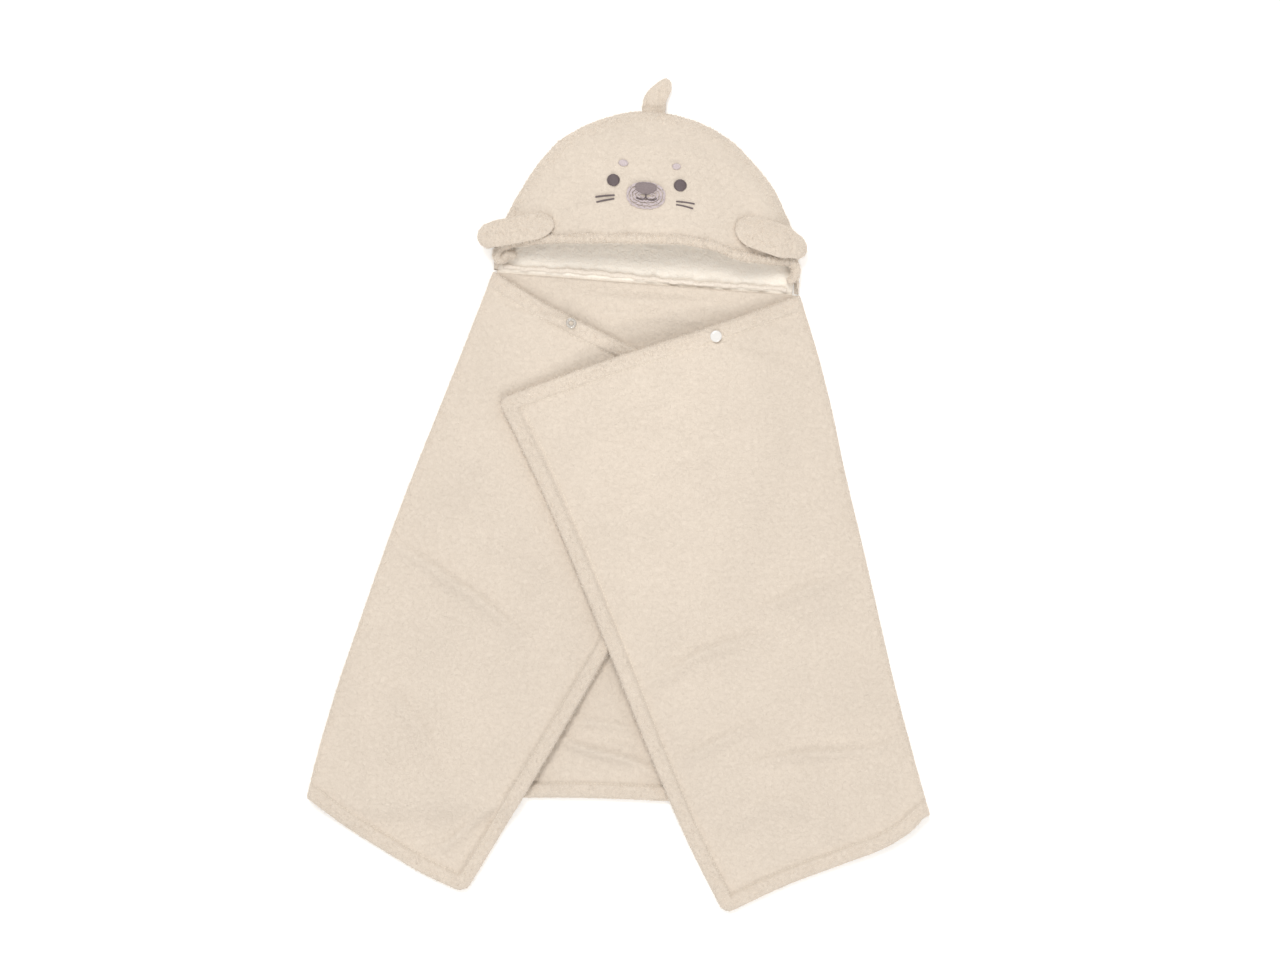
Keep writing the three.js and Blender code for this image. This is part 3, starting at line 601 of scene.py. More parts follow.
def loft(centres, across, up, wide, high, sides=24, square=2.4):
    """Points and faces of a closed body, swept through sections of half width wide and half height high."""
    angle = np.linspace(0, 2 * np.pi, sides, endpoint=False)
    c, s = np.cos(angle), np.sin(angle)
    c = np.sign(c) * np.abs(c) ** (2 / square)
    s = np.sign(s) * np.abs(s) ** (2 / square)
    wide, high = np.asarray(wide, float)[:, None, None], np.asarray(high, float)[:, None, None]
    rings = centres[:, None] + across[:, None] * wide * c[None, :, None] + up[:, None] * high * s[None, :, None]
    n = len(centres)
    points = np.concatenate([rings.reshape(-1, 3), centres[:1], centres[-1:]])
    index = np.arange(n * sides).reshape(n, sides)
    turned = np.roll(index, -1, 1)
    body = np.stack([index[:-1], turned[:-1], turned[1:], index[1:]], -1).reshape(-1, 4)
    first, last = n * sides, n * sides + 1
    start = np.stack([np.full(sides, first), turned[0], index[0], index[0]], -1)
    end = np.stack([np.full(sides, last), index[-1], turned[-1], turned[-1]], -1)
    return points, np.concatenate([body, start, end])


def along_line(line, up=(0, 0, 1)):
    """For each point of a line, the ways across it and up from it."""
    run = unit(np.gradient(line, axis=0))
    side = unit(np.cross(run, np.asarray(up, float)))
    return side, np.cross(side, run)


def tube(line, radius, sides=10, flat=1.0):
    """A closed round cord along a line, with rounded ends."""
    line = np.asarray(line, float)
    side, up = along_line(line)
    length = travelled(line)
    radius = np.broadcast_to(radius, length.shape)
    near = np.minimum(length, length[-1] - length)
    end = rounded(near / np.maximum(radius, 1e-6), 0.02)
    return loft(line, side, up, radius * end, radius * end * flat, sides, 2.0)


def gathered(parts):
    """One set of points and faces from several."""
    points, faces, n = [], [], 0
    for p, f in parts:
        points.append(p)
        faces.append(f + n)
        n += len(p)
    return np.concatenate(points), np.concatenate(faces)


def turned(profile, centre, sides=40):
    """A solid of revolution about an upright axis: profile is (radius, height) from the bottom round to the top."""
    profile = np.asarray(profile, float)
    angle = np.linspace(0, 2 * np.pi, sides, endpoint=False)
    ring = np.stack([np.cos(angle), np.sin(angle)], -1)
    closed = profile[0, 0] > 0.01
    points = np.concatenate([profile[:, None, :1] * ring[None], np.repeat(profile[:, None, 1:], sides, 1)], -1)
    index = np.arange(len(profile) * sides).reshape(len(profile), sides)
    if not closed:
        index[0] = index[0, 0]
        index[-1] = index[-1, 0]
    else:
        index = np.concatenate([index, index[:1]])
    after = np.roll(index, -1, 1)
    faces = np.stack([index[:-1], after[:-1], after[1:], index[1:]], -1).reshape(-1, 4)
    points, faces = tidy(points.reshape(-1, 3), faces)
    return points + np.asarray(centre, float), faces


# ------------------------------------------------------------------ the back and the two flaps

def reach_in(fold, way, distance):
    """The point that lies a distance in from a fold, along an edge's way."""
    cosine = np.abs(np.cross(unit(fold), unit(way)))
    return unit(way) * distance / cosine


LEFT_REACH, RIGHT_REACH = 5.7, 8.8
neck_way = unit(neck_right - neck_left)
foot_way = unit(RIGHT_FOOT - LEFT_FOOT)
left_run = LEFT_FOOT - left_top
right_run = RIGHT_FOOT - right_top


def fold_lines(fold, run, foot_dir, top_dir, reach, v):
    """Where a fold's cloth starts on a layer, from its foot (v 0) to its top (v 1)."""
    a, b = reach_in(run, foot_dir, reach), reach_in(run, top_dir, reach)
    return fold(v) + (1 - v)[:, None] * a + v[:, None] * b


def left_fold_up(v):
    return left_fold(1 - np.asarray(v))


FOLD_ROWS = 590       # the folds' length that their grid rows are spaced for
v_fold = spacing(FOLD_ROWS, True, False, 3.0)
v_left = spacing(FOLD_ROWS, True, True, 3.0)
left_start = fold_lines(left_fold_up, left_run, left_tip - LEFT_FOOT, left_corner - left_top, LEFT_REACH, v_left)
right_start = fold_lines(right_fold, right_run, right_tip - RIGHT_FOOT, right_corner - right_top, RIGHT_REACH, v_left)
left_base = fold_lines(left_fold_up, left_run, foot_way, neck_way, LEFT_REACH, v_left)
right_base = fold_lines(right_fold, right_run, -foot_way, -neck_way, RIGHT_REACH, v_left)


def through(points):
    """An edge that runs through points, one for each place in v_left."""
    return lambda t: np.stack([np.interp(t, v_left, points[:, k]) for k in (0, 1)], -1)


def between(edge, start, end):
    """An edge moved at its ends, to start and end at these points."""
    a, b = edge(np.array([0.0]))[0], edge(np.array([1.0]))[0]
    return lambda t: edge(t) + (1 - t)[:, None] * (start - a) + t[:, None] * (end - b)


def back_piece():
    """The back section, from fold to fold and from its hemmed foot to the neck."""
    u = np.linspace(0, 1, 190)
    foot = between(bowed(left_base[0], right_base[0], FOOT_BOW), left_base[0], right_base[0])
    top = between(bowed(neck_left, neck_right), left_base[-1], right_base[-1])
    grid = patch(foot, top, through(left_base), through(right_base), u, v_fold)
    up, down = layer(grid, [foot(steps)], [0.8], None, lambda g: creased(g, BACK_CREASES, 3))
    down[..., 2] = np.minimum(down[..., 2], up[..., 2] - 1)
    return new_piece("Towel back", *walled(up, down), CREAM), up


def walled(up, down):
    """A closed shell whose first column is a rounded edge and whose other three sides are walls."""
    ni, nj = up.shape[:2]
    top = np.arange(ni * nj).reshape(ni, nj)
    low = top + ni * nj
    low[:, 0] = top[:, 0]
    faces = np.concatenate([
        quads(top[:-1, :-1], top[1:, :-1], top[1:, 1:], top[:-1, 1:]),
        quads(low[:-1, :-1], low[:-1, 1:], low[1:, 1:], low[1:, :-1]),
        quads(top[0, :-1], top[0, 1:], low[0, 1:], low[0, :-1]),
        quads(top[-1, 1:], top[-1, :-1], low[-1, :-1], low[-1, 1:]),
        quads(top[1:, -1], low[1:, -1], low[:-1, -1], top[:-1, -1])])
    return tidy(np.concatenate([up.reshape(-1, 3), down.reshape(-1, 3)]), faces)


def flap_piece(name, start, base, fold, edges, reach, under, creases, seed):
    """A front flap with the fold that joins it to the back. edges are its foot, free edge and top."""
    foot, edge, top = edges
    across = np.linalg.norm(np.diff(foot(steps), axis=0), axis=1).sum()
    u = spacing(max(across, 260), False, True, 2.8)
    foot, top = between(foot, start[0], foot(np.array([1.0]))[0]), between(top, start[-1], top(np.array([1.0]))[0])
    grid = patch(foot, top, through(start), edge, u, v_left)
    lines = [foot(steps), edge(steps), top(steps)]
    up, down = layer(grid, lines, [0.85, 1.0, 0.5], under, lambda g: creased(g, creases, seed))
    # the fold: half a turn from the back's edge, round and up to the flap
    half = (up[0, :, 2] - down[0, :, 2])[:, None] / 2
    middle = (up[0, :, 2] + down[0, :, 2])[:, None] / 2
    crest = fold(v_left)
    centre, radius = (middle + half) / 2, (middle - half) / 2
    turn = np.concatenate([[-1.0], np.linspace(-1, 1, 15)[:-1]])
    rows_up, rows_down = [], []
    for k, a in enumerate(turn):
        angle, s = a * np.pi / 2, (a + 1) / 2
        spot = grid[0] * s + base * (1 - s) - crest
        extra = 1.06 if k == 0 else 1.0              # the first row runs on a little way under the back
        outer = crest + spot * (extra - np.cos(angle))
        inner = crest + spot * (extra - np.cos(angle) * (1 - PILE / reach))
        rows_up.append(np.concatenate([outer, centre + (radius + half) * np.sin(angle)], -1))
        rows_down.append(np.concatenate([inner, centre + (radius - half) * np.sin(angle)], -1))
    points, faces = shell(np.concatenate([rows_up, up]), np.concatenate([rows_down, down]), False, True)
    return new_piece(name, points, faces, CREAM), up, lines


towel_back, back_top = back_piece()
left_flap, left_up, left_lines = flap_piece(
    "Left front flap", left_start, left_base, left_fold_up, (left_hem_foot, left_hem_edge, left_hem_top),
    LEFT_REACH, left_under, LEFT_CREASES, 7)
right_flap, right_up, right_lines = flap_piece(
    "Right front flap", right_start, right_base, right_fold,
    (lambda t: right_hem_foot(1 - np.asarray(t)), lambda t: right_hem_edge(1 - np.asarray(t)),
     lambda t: right_hem_top(1 - np.asarray(t))),
    RIGHT_REACH, right_under, RIGHT_CREASES, 9)


# ------------------------------------------------------------------ the hood

OUTLINE = np.array([
    (-147.8, 59.3), (-136, 85.8), (-115.6, 121.4), (-101, 139.6), (-72.9, 158.9), (-51.4, 169.1), (-35.8, 174.6),
    (23.7, 175.2), (49.7, 168.8), (78.5, 154.1), (96.8, 138.5), (113, 122.8), (127, 106.9), (140.7, 82.5),
    (149.4, 66.2)])[::-1]
outline_angle = np.arctan2(OUTLINE[:, 1] / HOOD_LENGTH, OUTLINE[:, 0] / HOOD_HALF_WIDTH)
outline_share = np.hypot(OUTLINE[:, 0] / HOOD_HALF_WIDTH, OUTLINE[:, 1] / HOOD_LENGTH)

FACE_SHIFT = np.array([0.2, -3.0])   # the embroidery's own set on the hood

HOOD_CREASES = (
    (((-120, 60), (-96, 92), (-60, 128)), 1.6, 13, 1.2),
    (((126, 74), (104, 104), (70, 134)), 1.5, 13, 1.2),
    (((-30, 62), (20, 58), (60, 64)), 1.3, 10, 1.0),
    (((-96, 60), (-70, 72), (-50, 78)), 1.2, 9, 1.0),
    (((60, 128), (20, 142), (-30, 140)), 1.0, 12, 1.0),
)
BRIM = np.array([      # across, to the crown and up, from the mouth's left corner to its right one
    (-140, 14, 9.5), (-142, 19, 12), (-148, 19, 12), (-152, 12.5, 10), (-156.5, 14, 10.5), (-156.5, 22, 13),
    (-148, 29, 18), (-126, 35.5, 26.5), (-90, 40, 35),
    (-50, 43.6, 40.5), (0, 47, 43), (45, 48.3, 41.5), (75, 44, 37.5), (93, 38.5, 33.5), (116, 35.5, 26.5),
    (140, 35.5, 17.5), (154, 34, 12.5), (158.5, 26, 12), (156, 17, 11.5), (150, 13, 11)])
BRIM = BRIM - BRIM[:, 2:] * np.array([[0, 0.06, 0]])       # the brim leans a little to the foot


def curve(points, count):
    """A smooth line through points, evenly spaced."""
    points = np.asarray(points, float)
    knots = travelled(points)
    t = np.linspace(0, knots[-1], 400)
    line = np.stack([spline(t, list(zip(knots, points[:, k]))) for k in range(points.shape[1])], -1)
    length = travelled(line)
    even = np.linspace(0, length[-1], count)
    return np.stack([np.interp(even, length, line[:, k]) for k in range(points.shape[1])], -1)


def dome(x, y):
    """The height of the hood's face over its own plane."""
    inner = 1 - (x / HOOD_HALF_WIDTH) ** 2 - (y / HOOD_LENGTH) ** 2
    return PILE + HOOD_RISE * np.sqrt(np.clip(inner, 0, 1))


def dome_normal(x, y):
    z = dome(x, y) - PILE
    return unit(np.stack([x / HOOD_HALF_WIDTH ** 2, y / HOOD_LENGTH ** 2,
                          np.maximum(z, 1.0) / HOOD_RISE ** 2], -1))


def face_rise(x, y):
    return creased(np.stack([x, y], -1), HOOD_CREASES, 15) * 0.8


def on_face(x, y, lift=0.0):
    """A place on the face's pile, in the hood's frame."""
    n = dome_normal(x, y)
    base = np.stack([x, y, dome(x, y)], -1)
    return base + n * np.asarray(PILE / 2 + face_rise(x, y) + lift)[..., None], n


def face_piece():
    """The hood's face: a shell over the dome, from the crown's outline to the brim."""
    theta = np.linspace(0.004, np.pi - 0.004, 250)
    brim = curve(BRIM[5:-3], 2000)
    t = np.linspace(0, 1, 120) ** 0.9
    cos_t, sin_t = np.cos(theta), np.sin(theta)
    # the brim's place in the turn of the hood, from the crown's outline on the floor up to its opening
    reach = np.hypot(HOOD_LENGTH, 1.125 * HOOD_RISE)
    lean = np.arctan2(1.125 * HOOD_RISE, HOOD_LENGTH)
    high = np.arccos(np.clip((NECK_OFFSET + 0.5) / (reach * sin_t), -1, 1)) - lean
    high = np.where(sin_t * reach < 20, np.minimum(high, 1.0), high)
    phi = -0.09 + (np.clip(high, 0.25, 2)[:, None] + 0.09) * t[None]
    x = HOOD_HALF_WIDTH * cos_t[:, None] * np.ones_like(phi)
    y = HOOD_LENGTH * sin_t[:, None] * np.cos(phi)
    z = PILE + HOOD_RISE * sin_t[:, None] * np.sin(phi)
    around = np.arctan2(y / HOOD_LENGTH, x / HOOD_HALF_WIDTH)
    far = np.hypot(x / HOOD_HALF_WIDTH, y / HOOD_LENGTH)
    share = 1 + (np.interp(around, outline_angle, outline_share) - 1) * far ** 5
    base = np.stack([x * share, y * share, z], -1)
    # the brim's own line, taken where the hood is as far across
    span = np.interp(cos_t * 157, brim[:, 0], np.arange(len(brim)))
    goal = np.stack([np.interp(span, np.arange(len(brim)), brim[:, k]) for k in range(3)], -1)
    pull = smoothstep(0.62, 1.0, t)[None, :, None] * smoothstep(0.0, 0.16, sin_t)[:, None, None]
    base = base + (goal - base[:, -1])[:, None] * pull
    du, dv = np.gradient(base, axis=0), np.gradient(base, axis=1)
    normal = unit(np.cross(du, dv))
    normal = np.where(np.sum(normal * np.dstack([x, y, z * 3 + 5]), -1, keepdims=True) < 0, -normal, normal)
    nap_rise = 0.3 * noise(base, 6.5, 21) + 0.16 * noise(base, 3.6, 22)
    thick = PILE / 2 * np.sqrt(smoothstep(-0.02, 0.05, t))[None] * np.ones_like(x)
    up = base + normal * (thick + face_rise(base[..., 0], base[..., 1]) + nap_rise)[..., None]
    down = base - normal * (thick - 0.9 * face_rise(base[..., 0], base[..., 1]))[..., None]
    down[..., 2] = np.maximum(down[..., 2], 0.3)
    up[..., 2] = np.maximum(up[..., 2], 0.6)
    points, faces = shell(hood_to_world(up), hood_to_world(down), True, False)
    return new_piece("Hood face", points, faces, CREAM)


hood_face = face_piece()


def hood_back_piece():
    """The hood's back panel, flat, from under the neck binding to the crown. Its inside is the lining, with painted
    light: lighter than the cream pile to offset the shade under the hood and brim.
    """
    x = np.linspace(-157, 157, 170)
    far = np.linspace(0, 1, 90)
    angle = np.linspace(0.02, np.pi - 0.02, 900)
    rim = np.stack([HOOD_HALF_WIDTH * np.cos(angle), HOOD_LENGTH * np.sin(angle)], -1)
    rim *= np.interp(np.arctan2(np.sin(angle), np.cos(angle)), outline_angle, outline_share)[:, None]
    top = np.interp(x, rim[::-1, 0], rim[::-1, 1])
    y = NECK_OFFSET - 9 + (top - NECK_OFFSET + 9)[:, None] * far[None]
    grid = np.dstack([x[:, None] * np.ones_like(y), y])
    inward = (1 - far)[None] * top[:, None]
    sunk = smoothstep(NECK_OFFSET - 5, NECK_OFFSET - 1, y)
    half = edge_round(np.clip(inward + 0.01, 0, 50), PILE / 2 * np.ones_like(y)) - 0.7 * (1 - sunk)
    rise = (0.5 * (1 + noise(grid, 40, 31)) + 0.25) * sunk - 0.5
    up = np.dstack([grid, PILE / 2 + half + rise + 0.25 * noise(grid, 6, 32)])
    down = np.dstack([grid, np.maximum(PILE / 2 - half, 0.0)])
    points, faces = shell(hood_to_world(up), hood_to_world(down), True, False)
    # its upper side takes the lining's painted light
    piece = new_piece("Hood back", points, faces, LIGHTENED_LINING)
    piece.data.materials.append(CREAM)               # its outer side is pile cloth, as the rest of the hood
    for face in piece.data.polygons:
        face.material_index = 1 if face.normal.z < -0.2 else 0
    return piece


hood_back = hood_back_piece()

# The brim's rolled hem, with small bumps where its overlock thread draws it in
brim_line = curve(BRIM, 720)
brim_far = travelled(brim_line)
bumps = 0.26 * np.cos(2 * np.pi * brim_far / 5.4) + 0.35 * np.sin(brim_far / 9.1 + np.sin(brim_far / 23))
taper = 1 - 0.25 * smoothstep(brim_far[-1] - 30, brim_far[-1], brim_far) - 0.2 * (1 - smoothstep(0, 30, brim_far))
brim_radius = (5.3 + bumps) * taper
points, faces = tube(brim_line, brim_radius, 22)
wobble = 0.35 * noise(points * [1, 1, 0] + points[:, 2:] * [0.7, 0.7, 0], 3.1, 41)
points = points + wobble[:, None] * [0.3, 1, 0.7]
brim = new_piece("Brim hem", hood_to_world(points), faces, CREAM)

# The binding along the neck seam
t = np.linspace(0, 1, 300)
neck = bowed(neck_left, neck_right, ((0, 0), (0.1, 0), (0.35, -1.5), (0.6, 1), (0.9, 0), (1, 0)))(t * 0.93 + 0.035)
neck = neck + (0.5 * np.sin(t * 61) + 0.35 * np.sin(t * 143))[:, None] * np.array([0.08, 1.0])
settled = read(spread(back_upper, 6, True), neck) + 0.6
neck_points = np.column_stack([neck, np.maximum(settled, PILE + 0.4) + 0.9])
side, up_way = along_line(neck_points)
points, faces = loft(neck_points, side, up_way, 2.3 + 0.3 * np.sin(t * 97), 1.3 + 0.2 * np.sin(t * 71), 16, 2.2)
binding = new_piece("Neck binding", points, faces, TAPE)


# ------------------------------------------------------------------ flippers and tuft

def flipper_piece(name, touch, reach, heading, seed, tip_droop, tip_wide, root_in):
    """A padded flipper: from its root at the hood's side, out to the fold, and in over the face. It bears on the face
    at touch, a reach in from its fold, and points along its heading. Its tip is tip_wide to each side and follows the
    face by tip_droop, and root_in is how far its root goes in. Also returns the two ends of its bend."""
    ahead = np.array([math.cos(math.radians(heading)), math.sin(math.radians(heading)), 0])
    point = np.array([touch[0], touch[1], dome(touch[0], touch[1])])
    normal = dome_normal(touch[0], touch[1])
    across = unit(np.cross(normal, ahead))
    run = np.cross(across, normal)
    fold = point + normal * (PILE / 2 + 0.6) - run * reach
    depth = np.clip(fold @ [0, 0, 1] - 4.5, 4, 30)
    path = [(root_in, -depth), (root_in * 0.6, -depth * 0.92), (4, -min(depth, 8.5)), (-0.5, -5.4), (-1.8, -1.2),
            (0.5, 2.6), (6, 4.1), (16, 4.6), (30, 4.8), (45, 4.9), (60, 4.8), (71, 4.4), (78, 3.9), (80.5, 3.6)]
    line = curve(path, 150)
    far = travelled(line)
    left = far[-1] - far
    wide = 10.5 + (tip_wide - 10.5) * smoothstep(12, 58, far)
    wide = wide * rounded(left / 24, 0.0008)
    thick = 3.1 + 0.4 * smoothstep(18, 60, far)
    thick = thick * rounded(left / 5, 0.01)
    thick = thick * rounded(far / 3, 0.05)
    centres = fold + line[:, :1] * run + line[:, 1:] * normal
    up = unit(np.cross(across, unit(np.gradient(centres, axis=0))))
    points, faces = loft(centres, np.tile(across, (len(centres), 1)), up, wide, thick, 44, 1.9)
    # its outer end is rounded, and it lies down on the face where that is lower than the flipper
    s = (points - fold) @ run
    sideways = (points - fold) @ across
    points = points + (5.5 * (sideways / 12) ** 2 * (1 - smoothstep(0, 24, s)))[:, None] * run
    s = (points - fold) @ run
    lower = dome(points[:, 0], points[:, 1]) + PILE / 2 - 1.9
    plane = (fold + s[:, None] * run)[:, 2]
    drop = (plane - lower) * smoothstep(18, 60, s) * (((points - fold) @ normal) > -1)
    points[:, 2] -= np.clip(drop, -8, 8) * tip_droop
    flat = np.stack([points[:, 0], points[:, 1]], -1)
    points[:, 2] += 0.5 * noise(flat, 17, seed) + 0.3 * noise(flat, 6, seed + 1)
    points[:, 2] = np.maximum(points[:, 2], 0.4)
    piece = new_piece(name, hood_to_world(points), faces, CREAM)
    lean = unit(normal + 0.15 * run)
    return piece, (hood_to_world(fold - 2.5 * lean), hood_to_world(fold + 3.5 * lean))


left_flipper, left_bend = flipper_piece("Left flipper", (-105, 51), 73, 13, 51, 0.8, 14.5, 27)
right_flipper, right_bend = flipper_piece("Right flipper", (126, 56), 40, 170, 53, 0.9, 18.0, 17)

TUFT = np.array([      # how far up, and its left and right edge there
    (447, 28, 46), (451, 25.5, 48), (456, 24.4, 49.4), (462, 25.2, 49.8), (468.5, 26.6, 51.9), (475, 30.4, 55.0),
    (481, 36.6, 55.6), (485.5, 42.5, 54.8), (488, 47, 52.2), (488.6, 49.2, 50.4)])


def tuft_piece():
    """The folded tuft that stands out from the crown."""
    y = np.concatenate([np.linspace(447, 486, 60), 488.6 - 2.6 * np.linspace(1, 0, 12)[1:] ** 2])
    low, high = (spline(y, list(zip(TUFT[:, 0], TUFT[:, k]))) for k in (1, 2))
    middle, wide = (low + high) / 2, np.maximum((high - low) / 2, 0.25)
    z = 4.4 + 0.6 * np.sin((y - 447) / 13)
    thick = (2.6 + 1.5 * smoothstep(455, 468, y)) * np.sqrt(np.clip(1 - ((y - 447) / 42.4) ** 6, 0.004, 1))
    thick = thick - 0.9 * np.exp(-((y - 457.5) / 2.2) ** 2)
    centres = np.column_stack([middle, y, z])
    across = np.tile([1.0, 0, 0], (len(y), 1))
    up = np.tile([0, 0, 1.0], (len(y), 1))
    points, faces = loft(centres, across, up, wide, thick, 40, 2.2)
    ridge = 0.7 * np.exp(-((points[:, 0] - 33 - (points[:, 1] - 455) * 0.35) / 3.2) ** 2) * (points[:, 2] > 4)
    points[:, 2] += 0.4 * noise(points, 9, 61) + 0.25 * noise(points, 4, 62) + ridge
    points[:, 2] = np.maximum(points[:, 2], 0.3)
    return new_piece("Crown tuft", points, faces, CREAM)


tuft = tuft_piece()


# ------------------------------------------------------------------ embroidery

def stitched(name, segments, radius, material, bulge=0.6, count=9, lift=0.1, sides=6):
    """Threads over the face. Each segment is a line of places (x, y) in the hood's frame."""
    parts = []
    for line in segments:
        line = curve(np.asarray(line, float) + FACE_SHIFT, count)
        t = np.linspace(0, 1, count)
        place, _ = on_face(line[:, 0], line[:, 1], lift + bulge * np.sin(np.pi * t) ** 0.5)
        parts.append(tube(place, radius, sides, 0.85))
    points, faces = gathered(parts)
    return new_piece(name, hood_to_world(points), faces, material)


def satin(centre, outline, pitch, angle):
    """Straight stitches side by side that fill an outline. outline(a) is its radius in direction a."""
    a = np.linspace(0, 2 * np.pi, 361)
    rim = np.stack([outline(a) * np.cos(a), outline(a) * np.sin(a)], -1)
    c, s = math.cos(angle), math.sin(angle)
    turned_rim = rim @ np.array([[c, -s], [s, c]])
    rows = np.arange(turned_rim[:, 1].min() + pitch * 0.5, turned_rim[:, 1].max(), pitch)
    result = []
    for k, row in enumerate(rows):
        cross = np.where((turned_rim[:-1, 1] - row) * (turned_rim[1:, 1] - row) <= 0)[0]
        xs_here = turned_rim[cross, 0]
        if len(xs_here) < 2 or xs_here.max() - xs_here.min() < 0.8:
            continue
        shake = 0.2 * math.sin(k * 2.7)
        ends = np.array([[xs_here.min() - 0.2 + shake, row], [xs_here.max() + 0.2 + shake, row]])
        result.append(ends @ np.array([[c, s], [-s, c]]) + np.asarray(centre))
    return [np.linspace(e[0], e[1], 3) for e in result]


def oval(w, h, power=2.0):
    return lambda a: 1 / (np.abs(np.cos(a) / w) ** power + np.abs(np.sin(a) / h) ** power) ** (1 / power)


def nose_outline(a):
    return np.where(np.sin(a) < 0, oval(11.3, 7.6, 1.7)(a), oval(11.3, 6.2, 2.6)(a))


eyes = [satin((x, 105.6), oval(6.9, 6.2), 0.62, 0.15) for x in (-41, 29)]
eye_pieces = [stitched(n, e, 0.45, DARK, 0.9, lift=0.5) for n, e in zip(("Left eye", "Right eye"), eyes)]
brow_shapes = (((-32.1, 124.5), oval(5.2, 3.3), 0.3), ((23.5, 125.2), oval(4.5, 3.1), -0.25))
brow_pieces = [stitched(n, satin(c, o, 0.62, a), 0.45, LILAC, 0.6, lift=0.5)
               for n, (c, o, a) in zip(("Left brow", "Right brow"), brow_shapes)]


def rings(centre, w, h, pitch):
    """Running stitches laid in rings, from the outline in to a slot at the middle."""
    result = []
    k = 0
    while h - k * pitch > pitch * 0.4:
        ww, hh = w - k * pitch, h - k * pitch
        a = np.linspace(0, 2 * np.pi, max(24, int(60 * ww / w)) + 1) + 0.4 * k
        r = oval(ww, hh, 2.25)(a)
        loop = np.stack([r * np.cos(a), r * np.sin(a)], -1) + np.asarray(centre)
        pieces_in_ring = max(3, int(round((ww + hh) * 3.1 / 7.5)))
        cuts = np.linspace(0, len(loop) - 1, pieces_in_ring + 1).astype(int)
        if k % 4 != 3:                       # an open line is left between bands of three rings
            result += [loop[i:j + 1][:: max(1, (j - i) // 3)] for i, j in zip(cuts[:-1], cuts[1:])]
        k += 1
    return [r for r in result if len(r) > 2]


muzzle = stitched("Muzzle", rings((-5.8, 92), 20, 13.8, 0.85), 0.5, LILAC, 0.14, 7, 1.45)
nose = stitched("Nose", satin((-6.6, 99.9), nose_outline, 0.62, np.pi / 2), 0.42, NOSE, 0.75, 9, 1.75)


def cords(name, lines, radius, lift):
    """Raised lines of close short stitches."""
    parts = []
    for line in lines:
        line = curve(np.asarray(line, float) + FACE_SHIFT, 90)
        far = travelled(line)
        place, _ = on_face(line[:, 0], line[:, 1], np.full(len(line), lift))
        parts.append(tube(place, radius * (1 + 0.16 * np.cos(2 * np.pi * far / 0.95)), 8, 0.8))
    points, faces = gathered(parts)
    return new_piece(name, hood_to_world(points), faces, DARK)


mouth = cords("Mouth", [[(-5.8, 94), (-5.9, 91.4), (-6.1, 89.4)],
                        [(-15.9, 89.4), (-13.5, 87.8), (-10, 87.3), (-7.5, 88.2), (-6.1, 89.6)],
                        [(5.8, 89.8), (3.6, 88), (0.6, 87.3), (-3.6, 88.0), (-5.9, 89.6)]], 0.72, 2.1)
whisker_lines = {
    "Left upper whisker": [(-38.2, 89.9), (-48, 88.6), (-58.5, 86.4)],
    "Left lower whisker": [(-38.2, 86.1), (-47, 84), (-56.9, 80.9)],
    "Right upper whisker": [(25.9, 88.4), (36, 88.3), (45.8, 87.4)],
    "Right lower whisker": [(26.1, 85.1), (35, 84.1), (44.5, 82.3)],
}
whiskers = {n: cords(n, [line], 0.85, 0.8) for n, line in whisker_lines.items()}


def backing_piece():
    """The felt behind the embroidery, an oval sheet inside the hood."""
    r = np.linspace(0.02, 1, 26)
    a = np.linspace(0, 2 * np.pi, 73)
    x = -6 + 62 * r[:, None] * np.cos(a)
    y = 89 + 33 * r[:, None] * np.sin(a)
    n = dome_normal(x, y)
    base = np.dstack([x, y, dome(x, y)]) + n * (0.9 * face_rise(x, y) - PILE / 2 - 0.9)[..., None]
    up, down = base + 0.4 * n, base - 0.4 * n
    for grid in (up, down):
        grid[:, -1] = grid[:, 0]
    index = np.arange(26 * 72).reshape(26, 72)
    around = np.roll(index, -1, 1)
    low = index + 26 * 72
    low_around = around + 26 * 72
    centre = 2 * 26 * 72
    faces = [quads(index[:-1], index[1:], around[1:], around[:-1]),
             quads(low[:-1], low_around[:-1], low_around[1:], low[1:]),
             quads(index[-1], low[-1], low_around[-1], around[-1]),
             np.stack([np.full(72, centre), index[0], around[0], around[0]], -1),
             np.stack([np.full(72, centre + 1), low_around[0], low[0], low[0]], -1)]
    points = np.concatenate([up[:, :-1].reshape(-1, 3), down[:, :-1].reshape(-1, 3),
                             up[0, :-1].mean(0)[None], down[0, :-1].mean(0)[None]])
    return new_piece("Embroidery backing", hood_to_world(points), np.concatenate(faces), FELT)


backing = backing_piece()


# ------------------------------------------------------------------ snaps

def middle_of(name):
    """The middle of a CAD node, seen from above."""
    low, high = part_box(name)
    return np.array([(low[0] + high[0]) / 2, (low[1] + high[1]) / 2]) / MM


def top_of(grid_up, spot):
    """The height of a flap's pile nearest to a spot."""
    far = np.hypot(grid_up[..., 0] - spot[0], grid_up[..., 1] - spot[1])
    return np.percentile(grid_up[..., 2][far < 6.5], 85)


# the snaps lie a little farther in than their CAD nodes, well inside the hems
right_spot, left_spot = middle_of("right_snap_cap") + [2.7, -3.6], middle_of("left_snap_cap") + [0.9, -3.6]
right_high, left_high = top_of(right_up, right_spot), top_of(left_up, left_spot)
